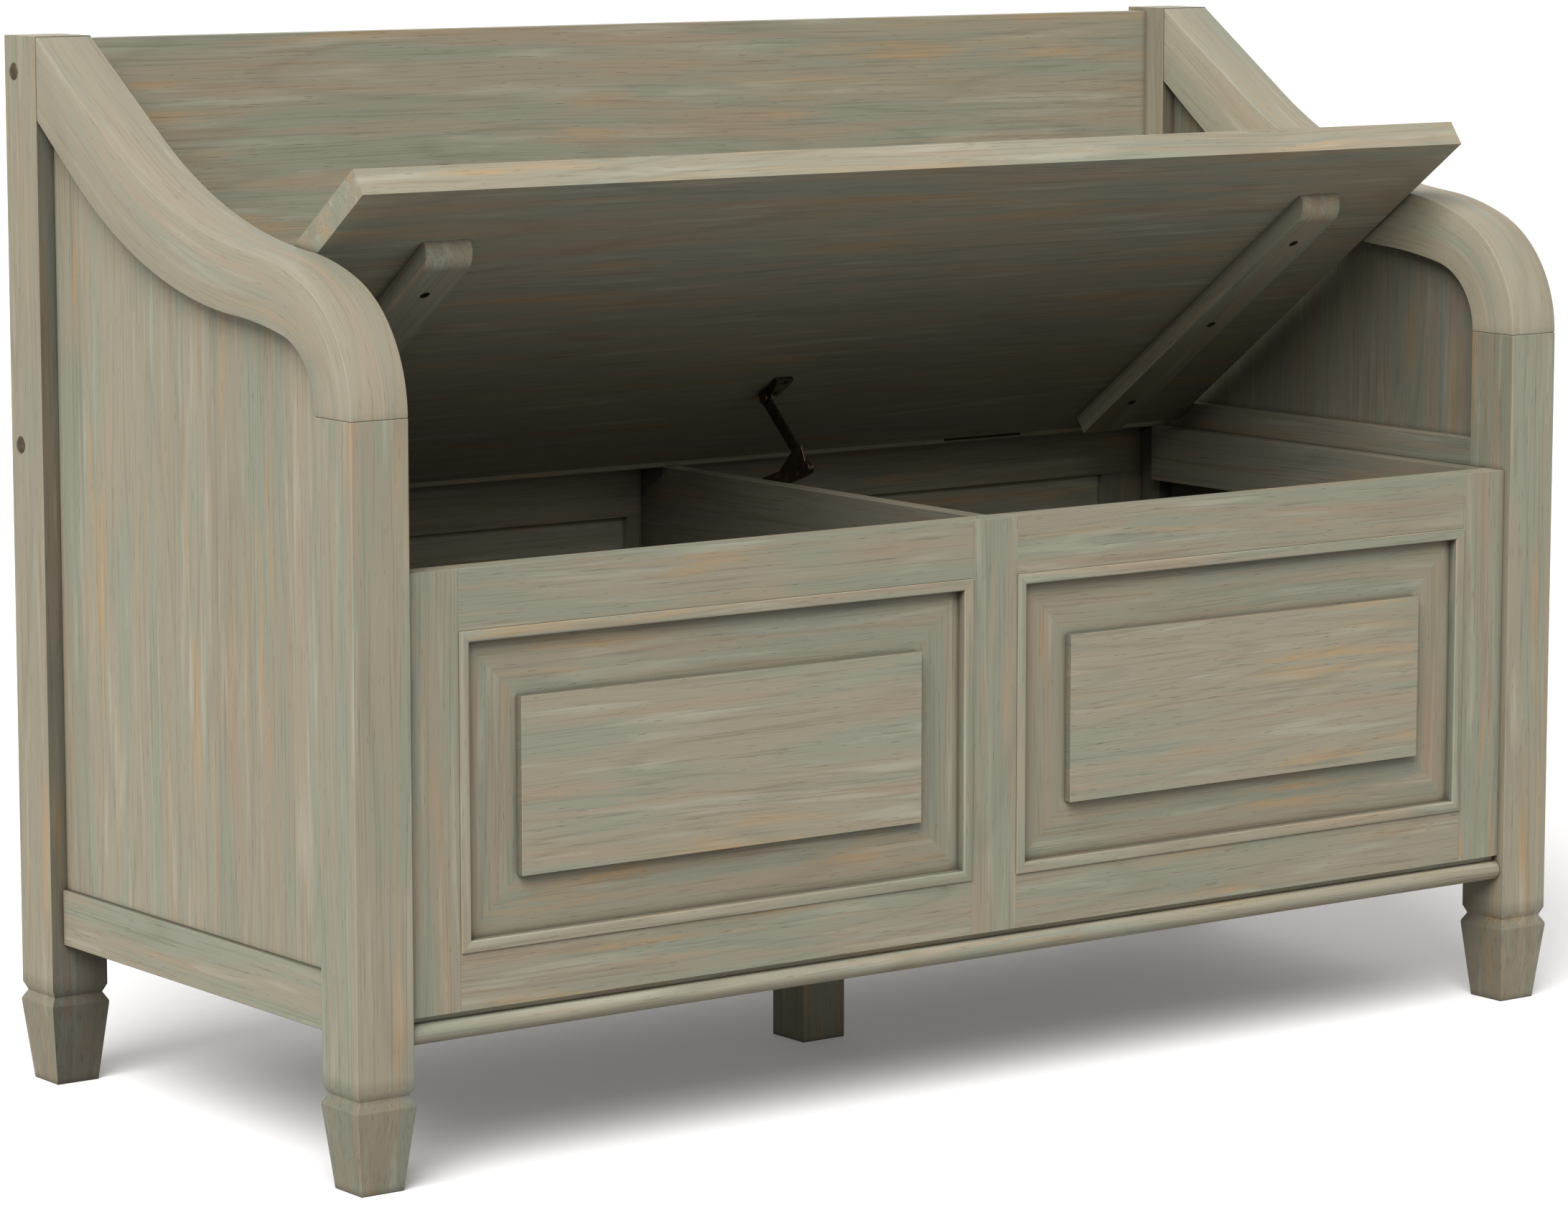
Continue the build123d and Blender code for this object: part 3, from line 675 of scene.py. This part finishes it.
def dressBoards():
    for axis, members in boards.items():
        for name, look in members.items():
            dress(name, boardMaterial(name + "Wash", grainTurns[axis], look))
            easeEdges(nodes[name], look["ease"])
    for name, look in mitredBoards.items():
        look = dict(look)
        ease = look.pop("ease")
        dress(name, mitredMaterial(name + "Wash", *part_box(name), **look))
        easeEdges(nodes[name], ease)
    print("boards dressed")


# under is painted shade on the battens' undersides, darker towards the hinge as on the lid board
battens = {"ease": 0.8, "under": 0.5}


def dressBattens():
    # battens run up the slope of the lid
    for name in ("left_lid_batten", "right_lid_batten"):
        material, tree, shader = newMaterial(name + "Wash")
        place = put(tree, "TexCoord").outputs["Object"]
        level = laidAlong(tree, place, (lidLean, 0, 0), (0, 0, 0))
        washed(tree, shader, laidAlong(tree, level, grainTurns["y"], boardOffset()))
        addPatches(tree, shader, battens)
        dress(name, material)
        easeEdges(nodes[name], battens["ease"])
    print("battens dressed")


# Metal finishes: the colour, how dull it is and how metallic
metals = {
    "stayBronze": {"colour": (82, 68, 56), "rough": 0.27, "metal": 0.9},
    "hingeBronze": {"colour": (58, 48, 36), "rough": 0.34, "metal": 0.85},
    "screwBronze": {"colour": (50, 42, 33), "rough": 0.32, "metal": 0.9},
    "boltSteel": {"colour": (150, 150, 152), "rough": 0.30, "metal": 1.0},
    "nutSteel": {"colour": (172, 168, 158), "rough": 0.34, "metal": 1.0},
}
# Smears and scratches: each a noise scale and its detail
rubbing = {
    "smears": (140.0, 4.0),
    "scratches": (1400.0, 2.0),
    "smearFade": (0.50, 0.74),
    "smearDepth": 0.55,
    "smearGloss": 0.30,
    "scratchGloss": 0.10,
    "glossMiddle": 0.18,
    "lighter": 2.4,
    "bumpDepth": 0.00003,
}


def buildHandling():
    # rubbed metal: soft smears and fine scratches that lighten the finish and change its gloss
    tree, given, out = newGroup(
        "handling",
        [("Finish", "NodeSocketColor", None), ("Rubbed", "NodeSocketColor", None)],
        [("Color", "NodeSocketColor"), ("Gloss", "NodeSocketFloat"), ("Height", "NodeSocketFloat")],
    )
    place = put(tree, "TexCoord").outputs["Object"]
    smear = speckle(tree, place, *rubbing["smears"])
    fine = speckle(tree, place, *rubbing["scratches"])
    spots = mask(tree, smear, *rubbing["smearFade"])
    spots = maths(tree, "MULTIPLY", spots, rubbing["smearDepth"])
    colour = mixColours(tree, spots, given.outputs["Finish"], given.outputs["Rubbed"])
    tree.links.new(colour, out.inputs["Color"])
    soft = maths(tree, "MULTIPLY", smear, rubbing["smearGloss"])
    sharp = maths(tree, "MULTIPLY", fine, rubbing["scratchGloss"])
    tree.links.new(maths(tree, "ADD", soft, sharp), out.inputs["Gloss"])
    tree.links.new(fine, out.inputs["Height"])
    return tree


handling = buildHandling()


def metalMaterial(name):
    look = metals[name]
    material, tree, shader = newMaterial(name)
    group = put(tree, "Group", node_tree=handling)
    base = display(*look["colour"])
    group.inputs["Finish"].default_value = base
    rubbed = [min(1, rubbing["lighter"] * part) for part in base[:3]]
    group.inputs["Rubbed"].default_value = (*rubbed, 1)
    tree.links.new(group.outputs["Color"], shader.inputs["Base Color"])
    gloss = maths(tree, "ADD", group.outputs["Gloss"], look["rough"] - rubbing["glossMiddle"])
    tree.links.new(gloss, shader.inputs["Roughness"])
    shader.inputs["Metallic"].default_value = look["metal"]
    bump = put(tree, "Bump", {"Height": group.outputs["Height"], "Distance": rubbing["bumpDepth"]})
    tree.links.new(bump.outputs[0], shader.inputs["Normal"])
    return material


# Bolt caps: a dull painted metal, clouded and a little gritty
capLook = {
    "colour": (92, 82, 65),
    "speck": (118, 106, 86),
    "clouds": (160.0, 2.0),
    "cloudFade": (0.4, 0.7),
    "grit": (900.0, 3.0),
    "gritRough": 0.2,
    "rough": 0.20,
    "metal": 0.55,
    "bumpDepth": 0.00005,
    "ease": 0.15,
}


def capMaterial():
    material, tree, shader = newMaterial("capGreige")
    place = put(tree, "TexCoord").outputs["Object"]
    grit = speckle(tree, place, *capLook["grit"])
    cloud = mask(tree, speckle(tree, place, *capLook["clouds"]), *capLook["cloudFade"])
    tint = mixColours(tree, cloud, display(*capLook["colour"]), display(*capLook["speck"]))
    tree.links.new(tint, shader.inputs["Base Color"])
    rough = maths(tree, "MULTIPLY", grit, capLook["gritRough"])
    tree.links.new(maths(tree, "ADD", rough, capLook["rough"]), shader.inputs["Roughness"])
    shader.inputs["Metallic"].default_value = capLook["metal"]
    bump = put(tree, "Bump", {"Height": grit, "Distance": capLook["bumpDepth"]})
    tree.links.new(bump.outputs[0], shader.inputs["Normal"])
    return material


# The metal pieces that keep their shape, and how far their edges are eased in millimetres
metalNodes = {
    "stayBronze": {
        "stay_base_plate": 0.35,
        "stay_lower_link": 0.35,
        "stay_upper_arm": 0.35,
        "stay_lid_bracket": 0.35,
    },
    "hingeBronze": {
        "left_case_hinge_leaf": 0.2,
        "right_case_hinge_leaf": 0.2,
        "left_lid_hinge_leaf": 0.2,
        "right_lid_hinge_leaf": 0.2,
        "hinge_pins": 0.25,
    },
    "boltSteel": {"back_bolts": 0.3},
}


def dressMetal():
    for finishName, members in metalNodes.items():
        material = metalMaterial(finishName)
        for name, ease in members.items():
            dress(name, material)
            easeEdges(nodes[name], ease)
    dress("bolt_caps", capMaterial())
    easeEdges(nodes["bolt_caps"], capLook["ease"])
    print("metal dressed")


# Arms: the grain is made to follow the curve of each arm. Sizes from here on are in
# millimetres, and a bend is its radius and its turn in degrees
arm = {
    "topBends": ((93.0, -68.0), (212.0, -17.0), (404.0, 29.0)),
    "step": 2.0,
    "endSteps": 10,
    "cuts": 40,
    "endGap": 1.0,
    "ease": 1.0,
    "easeSteps": 3,
    # top is a share of painted shade on the arm's up-facing top
    "look": {"tone": 1.07, "ochre": 0.6, "streak": 0.7, "top": 0.14},
}


def armLine():
    # points along the arm's top edge in Y and Z, from the front leg to the rear post
    low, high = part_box("left_arm_rail")
    y, z = low.y, low.z
    heading = math.radians(90)
    points = [Vector((y, z))]
    for radius, turn in arm["topBends"]:
        length = math.radians(abs(turn)) * radius
        count = max(2, round(length / arm["step"]))
        for place in range(count):
            heading += math.radians(turn) / count / 2
            step = length / count * mm
            points.append(points[-1] + Vector((math.cos(heading), math.sin(heading))) * step)
            heading += math.radians(turn) / count / 2
    step = (high.y - points[-1].x) / math.cos(heading) / arm["endSteps"]
    for place in range(arm["endSteps"]):
        points.append(points[-1] + Vector((math.cos(heading), math.sin(heading))) * step)
    return points


def alongArm(line, y, z):
    # how far along the top edge a point lies, and how far under it
    point = Vector((y, z))
    best = None
    travelled = 0.0
    for start, end in zip(line, line[1:]):
        step = end - start
        share = min(1.0, max(0.0, (point - start).dot(step) / step.length_squared))
        near = start + step * share
        gap = (point - near).length
        if best is None or gap < best[0]:
            best = (gap, travelled + share * step.length)
        travelled += step.length
    return best[1], best[0]


def deselect():
    if bpy.context.object and bpy.context.object.mode != "OBJECT":
        bpy.ops.object.mode_set(mode="OBJECT")
    bpy.ops.object.select_all(action="DESELECT")


def mergedCopy(name, newName):
    # a copy of a CAD piece with its loose triangles joined into clean faces
    deselect()
    piece = bpy.data.objects.new(newName, nodes[name].data.copy())
    bpy.context.scene.collection.objects.link(piece)
    bpy.context.view_layer.objects.active = piece
    piece.select_set(True)
    bpy.ops.object.mode_set(mode="EDIT")
    bpy.ops.mesh.select_all(action="SELECT")
    bpy.ops.mesh.customdata_custom_splitnormals_clear()
    bpy.ops.mesh.remove_doubles(threshold=edges["joinWithin"])
    bpy.ops.mesh.dissolve_limited(angle_limit=math.radians(edges["flatWithin"]))
    bpy.ops.object.mode_set(mode="OBJECT")
    return piece


def handOver(piece, node, body, material):
    # the finished piece takes its material, and stands in for its CAD node
    piece.data.materials.clear()
    piece.data.materials.append(material)
    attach(piece, body)
    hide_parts(node)


def buildArm(side):
    piece = mergedCopy(side + "_arm_rail", side + "ArmRail")
    line = armLine()
    total = sum((b - a).length for a, b in zip(line, line[1:]))
    bpy.ops.object.mode_set(mode="EDIT")
    travelled = 0.0
    nextCut = total / arm["cuts"]
    for start, end in zip(line, line[1:]):
        travelled += (end - start).length
        if travelled >= nextCut and travelled < total - arm["endGap"] * mm:
            nextCut += total / arm["cuts"]
            heading = (end - start).normalized()
            bpy.ops.mesh.select_all(action="SELECT")
            bpy.ops.mesh.bisect(plane_co=(0, end.x, end.y), plane_no=(0, heading.x, heading.y))
    bpy.ops.object.mode_set(mode="OBJECT")
    bevel = piece.modifiers.new("easedEdges", "BEVEL")
    bevel.width = arm["ease"] * mm
    bevel.segments = arm["easeSteps"]
    bevel.limit_method = "ANGLE"
    bevel.angle_limit = math.radians(edges["sharpOver"])
    bpy.ops.object.modifier_apply(modifier="easedEdges")
    bpy.ops.object.shade_smooth_by_angle(angle=math.radians(edges["sharpOver"]))
    layer = piece.data.uv_layers.new(name="grain")
    places = [alongArm(line, v.co.y, v.co.z) for v in piece.data.vertices]
    for loop in piece.data.loops:
        layer.data[loop.index].uv = places[loop.vertex_index]
    material, tree, shader = newMaterial(side + "ArmWash")
    flat = put(tree, "SeparateXYZ", {0: put(tree, "UVMap", uv_map="grain").outputs[0]})
    solid = put(tree, "SeparateXYZ", {0: put(tree, "TexCoord").outputs["Object"]})
    grain = put(tree, "CombineXYZ", {0: flat.outputs[0], 1: flat.outputs[1], 2: solid.outputs[0]})
    laid = laidAlong(tree, grain.outputs[0], grainTurns["x"], boardOffset())
    washed(tree, shader, laid, **washOnly(arm["look"]))
    addPatches(tree, shader, arm["look"])
    handOver(piece, side + "_arm_rail", "case", material)
    print("arm made:", side)


# Floor: pale and plain, lit a little from within so that it reads as white
def addFloor():
    deselect()
    bpy.ops.mesh.primitive_plane_add(size=studio["floorSize"], location=(0, 0, boxLow.z))
    floor = bpy.context.object
    floor.name = "floor"
    material, tree, shader = newMaterial("paleFloor")
    shader.inputs["Base Color"].default_value = (*studio["floorColour"], 1)
    shader.inputs["Roughness"].default_value = studio["floorRough"]
    shader.inputs["Specular IOR Level"].default_value = 0.0
    shader.inputs["Emission Color"].default_value = (*studio["glowColour"], 1)
    shader.inputs["Emission Strength"].default_value = studio["floorGlow"]
    # seen as white paper, but it throws little light back up into the chest
    dull = put(tree, "BsdfDiffuse", {"Color": (*studio["floorBounce"], 1)})
    path = put(tree, "LightPath")
    seen = put(tree, "MixShader", {0: path.outputs["Is Camera Ray"], 1: dull.outputs[0]})
    tree.links.new(shader.outputs[0], seen.inputs[2])
    tree.links.new(seen.outputs[0], tree.nodes["Material Output"].inputs["Surface"])
    floor.data.materials.append(material)
    print("floor laid")


# Screws: countersunk, with a cross recess for the driver, most sizes as shares of the head
screws = {
    "sides": 32,
    "tipLength": 3.0,
    "tipShare": 0.2,
    "rimShare": 0.1,
    "armLength": 0.62,
    "armWidth": 0.2,
    "recessDepth": 0.62,
    "rimSink": 0.02,
    "bladeTaper": (0.45, 0.6, 1),
    "endReach": 0.05,
    "groups": {
        "batten_screws": ("battenScrews", "lid"),
        "lid_fitting_screws": ("lidFittingScrews", "lid"),
        "case_fitting_screws": ("caseFittingScrews", "case"),
    },
}
squarely = 0.9  # a face looks up or down when its normal's Z is past this


def selectFaces(piece, wanted):
    bpy.ops.object.mode_set(mode="OBJECT")
    for part in (piece.data.vertices, piece.data.edges):
        for each in part:
            each.select = False
    for face in piece.data.polygons:
        face.select = wanted(face)
    bpy.ops.object.mode_set(mode="EDIT")
    bpy.ops.mesh.select_mode(type="FACE")


def cutOut(piece, cutter):
    # take the cutter's shape out of the piece, and throw the cutter away
    deselect()
    bpy.context.view_layer.objects.active = piece
    piece.select_set(True)
    hollow = piece.modifiers.new("recess", "BOOLEAN")
    hollow.operation = "DIFFERENCE"
    hollow.solver = "EXACT"
    hollow.object = cutter
    bpy.ops.object.modifier_apply(modifier="recess")
    bpy.data.objects.remove(cutter)


def taperedBlade(width, length, depth):
    # one arm of a driver's tip: a bar that narrows downwards
    deselect()
    bpy.ops.mesh.primitive_cube_add(size=1, location=(0, 0, 0))
    blade = bpy.context.object
    bpy.ops.object.mode_set(mode="EDIT")
    bpy.ops.mesh.select_all(action="SELECT")
    bpy.ops.transform.resize(value=(length, width, 2 * depth))
    selectFaces(blade, lambda face: face.normal.z < -squarely)
    bpy.ops.transform.resize(value=screws["bladeTaper"])
    bpy.ops.object.mode_set(mode="OBJECT")
    return blade


def copied(piece):
    # a copy with a mesh of its own
    made = bpy.data.objects.new(piece.name + "Copy", piece.data.copy())
    bpy.context.scene.collection.objects.link(made)
    return made


def joined(pieces, name):
    # many copies made into one piece
    deselect()
    for each in pieces:
        each.select_set(True)
    bpy.context.view_layer.objects.active = pieces[0]
    bpy.ops.object.join()
    piece = bpy.context.object
    piece.name = name
    bpy.ops.object.shade_smooth_by_angle(angle=math.radians(edges["sharpOver"]))
    return piece


def screwShape(mesh):
    # axis, head centre and sizes of one screw, read from its CAD solid
    points = np.array([v.co for v in mesh.vertices], float)
    centre = points.mean(0)
    axis = np.linalg.svd(points - centre)[2][0]
    along = (points - centre) @ axis
    off = np.linalg.norm(points - centre - np.outer(along, axis), axis=1)
    if along[off.argmax()] < 0:
        axis = -axis
        along = -along
    top = along.max()
    near = screws["endReach"] * mm
    rim = points[along > top - near]
    head = rim.mean(0)
    headRadius = np.linalg.norm(rim - head, axis=1).max()
    end = points[along < along.min() + near]
    radius = np.linalg.norm(end - end.mean(0), axis=1).max()
    return Vector(head), Vector(axis), headRadius, radius, top - along.min()


def modelScrew(headRadius, radius, length):
    headHeight = headRadius - radius
    deselect()
    bpy.ops.mesh.primitive_cone_add(
        vertices=screws["sides"], radius1=radius, radius2=headRadius, depth=headHeight,
        location=(0, 0, -headHeight / 2),
    )
    screw = bpy.context.object
    bpy.ops.object.transform_apply(location=True, rotation=True, scale=True)
    selectFaces(screw, lambda face: face.normal.z < -squarely)
    shank = length - headHeight - screws["tipLength"] * mm
    for drop in (shank, screws["tipLength"] * mm):
        bpy.ops.mesh.extrude_region_move(TRANSFORM_OT_translate={"value": (0, 0, -drop)})
    share = screws["tipShare"]
    bpy.ops.transform.resize(value=(share, share, 1))
    selectFaces(screw, lambda face: face.normal.z > squarely)
    bpy.ops.mesh.inset(thickness=screws["rimShare"] * headRadius)
    bpy.ops.transform.translate(value=(0, 0, -screws["rimSink"] * headRadius))
    bpy.ops.object.mode_set(mode="OBJECT")
    blade = (
        screws["armWidth"] * 2 * headRadius,
        screws["armLength"] * 2 * headRadius,
        screws["recessDepth"] * headRadius,
    )
    for turn in (0, 90):
        cutter = taperedBlade(*blade)
        cutter.rotation_euler.z = math.radians(turn)
        cutOut(screw, cutter)
    return screw


def buildScrews():
    turns = random.Random(5)
    patterns = {}  # one modelled screw for each size
    material = metalMaterial("screwBronze")
    for node, (newName, body) in screws["groups"].items():
        mergedCopy(node, node + "Solids")
        bpy.ops.object.mode_set(mode="EDIT")
        bpy.ops.mesh.select_all(action="SELECT")
        bpy.ops.mesh.separate(type="LOOSE")
        bpy.ops.object.mode_set(mode="OBJECT")
        loose = sorted(bpy.context.selected_objects, key=lambda each: each.name)
        shapes = [screwShape(each.data) for each in loose]
        for each in loose:
            bpy.data.objects.remove(each)
        made = []
        for head, axis, headRadius, radius, length in shapes:
            size = tuple(round(value / mm, 1) for value in (headRadius, radius, length))
            if size not in patterns:
                patterns[size] = modelScrew(headRadius, radius, length)
            screw = copied(patterns[size])
            stand = axis.to_track_quat("Z", "Y").to_matrix().to_4x4()
            spin = Matrix.Rotation(turns.uniform(0, math.pi), 4, "Z")
            screw.data.transform(Matrix.Translation(head) @ stand @ spin)
            made.append(screw)
        handOver(joined(made, newName), node, body, material)
        print("screws made:", newName, len(made))
    for pattern in patterns.values():
        bpy.data.objects.remove(pattern)


# Barrel nuts in the back of the backrest: a cross-drilled bar end with one slot
nuts = {
    "radius": 5.0,
    "length": 14.0,
    "sides": 40,
    "edge": 0.5,
    "edgeSteps": 3,
    "boreRadius": 3.0,
    "slotWidth": 1.4,
    "slotDepth": 1.3,
}


def modelNut():
    # stands along -Z with its slotted end at the origin; the bolt runs through the middle
    # of the backrest's thickness
    radius = nuts["radius"] * mm
    length = nuts["length"] * mm
    low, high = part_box("backrest_board")
    boreDepth = (high.y - low.y) / 2
    deselect()
    bpy.ops.mesh.primitive_cylinder_add(
        vertices=nuts["sides"], radius=radius, depth=length, location=(0, 0, -length / 2)
    )
    nut = bpy.context.object
    bpy.ops.object.transform_apply(location=True, rotation=True, scale=True)
    selectFaces(nut, lambda face: abs(face.normal.z) > squarely)
    bpy.ops.mesh.bevel(offset=nuts["edge"] * mm, segments=nuts["edgeSteps"], affect="EDGES")
    bpy.ops.object.mode_set(mode="OBJECT")
    deselect()
    bpy.ops.mesh.primitive_cylinder_add(
        vertices=nuts["sides"], radius=nuts["boreRadius"] * mm, depth=3 * radius,
        location=(0, 0, -boreDepth), rotation=(0, math.radians(90), 0),
    )
    cutOut(nut, bpy.context.object)
    deselect()
    bpy.ops.mesh.primitive_cube_add(size=1, location=(0, 0, 0))
    slot = bpy.context.object
    slot.scale = (3 * radius, nuts["slotWidth"] * mm, 2 * nuts["slotDepth"] * mm)
    cutOut(nut, slot)
    return nut


def buildBarrelNuts():
    low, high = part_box("barrel_nuts")
    radius = nuts["radius"] * mm
    places = [
        (x, high.y, z)
        for x in (low.x + radius, high.x - radius)
        for z in (low.z + radius, high.z - radius)
    ]
    stand = Matrix.Rotation(math.radians(-90), 4, "X")
    pattern = modelNut()
    made = []
    for place in places:
        nut = copied(pattern)
        nut.data.transform(Matrix.Translation(place) @ stand)
        made.append(nut)
    bpy.data.objects.remove(pattern)
    piece = joined(made, "barrelNuts")
    handOver(piece, "barrel_nuts", "case", metalMaterial("nutSteel"))
    print("barrel nuts made:", len(made))


# Mouldings: a mitred frame round each panel, rounded over on its inner edge
moulding = {
    "width": 8.0,
    "innerRound": 1.8,
    "roundSteps": 4,
    "outerEase": 0.6,
    "easeSteps": 2,
    "near": 0.1,
    "look": {"tone": 1.0, "wallShade": 0.42},
}


def roundEdges(piece, width, segments, wanted):
    # bevel the edges whose two ends both pass a test
    bpy.ops.object.mode_set(mode="OBJECT")
    for part in (piece.data.vertices, piece.data.edges, piece.data.polygons):
        for each in part:
            each.select = False
    points = piece.data.vertices
    for edge in piece.data.edges:
        edge.select = all(wanted(points[end].co) for end in edge.vertices)
    bpy.ops.object.mode_set(mode="EDIT")
    bpy.ops.mesh.select_mode(type="EDGE")
    bpy.ops.mesh.bevel(offset=width * mm, segments=segments, affect="EDGES")
    bpy.ops.object.mode_set(mode="OBJECT")


def buildMoulding(side):
    node = side + "_panel_moulding"
    low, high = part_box(node)
    centre = (low + high) / 2
    half = (high - low) / 2
    width = moulding["width"] * mm
    near = moulding["near"] * mm
    deselect()
    bpy.ops.mesh.primitive_plane_add(
        size=1, location=(centre.x, low.y, centre.z), rotation=(math.radians(90), 0, 0)
    )
    piece = bpy.context.object
    piece.scale = (2 * half.x, 2 * half.z, 1)
    bpy.ops.object.transform_apply(location=True, rotation=True, scale=True)
    bpy.ops.object.mode_set(mode="EDIT")
    bpy.ops.mesh.select_all(action="SELECT")
    bpy.ops.mesh.inset(thickness=width)
    inner = half - Vector((width, 0, width))
    middle = Vector((centre.x, low.y, centre.z))
    selectFaces(piece, lambda face: (face.center - middle).length < mm)
    bpy.ops.mesh.delete(type="FACE")
    bpy.ops.mesh.select_all(action="SELECT")
    bpy.ops.mesh.extrude_region_move(TRANSFORM_OT_translate={"value": (0, high.y - low.y, 0)})
    bpy.ops.mesh.select_all(action="SELECT")
    bpy.ops.mesh.normals_make_consistent(inside=False)
    bpy.ops.object.mode_set(mode="OBJECT")

    def onFront(point):
        return point.y < low.y + near

    def onInner(point):
        across = abs(point.x - centre.x) < inner.x + near
        return onFront(point) and across and abs(point.z - centre.z) < inner.z + near

    def onOuter(point):
        across = abs(abs(point.x - centre.x) - half.x) < near
        return onFront(point) and (across or abs(abs(point.z - centre.z) - half.z) < near)

    roundEdges(piece, moulding["innerRound"], moulding["roundSteps"], onInner)
    roundEdges(piece, moulding["outerEase"], moulding["easeSteps"], onOuter)
    piece.name = side + "PanelMoulding"
    bpy.ops.object.shade_smooth_by_angle(angle=math.radians(edges["sharpOver"]))
    material = mitredMaterial(piece.name + "Wash", low, high, **moulding["look"])
    handOver(piece, node, "case", material)
    print("moulding made:", side, len(piece.data.polygons), "faces")


addCamera()
addStudio()
addFloor()
dressBoards()
dressBattens()
dressMetal()
for side in ("left", "right"):
    buildArm(side)
    buildMoulding(side)
buildScrews()
buildBarrelNuts()
print("bench dressed")
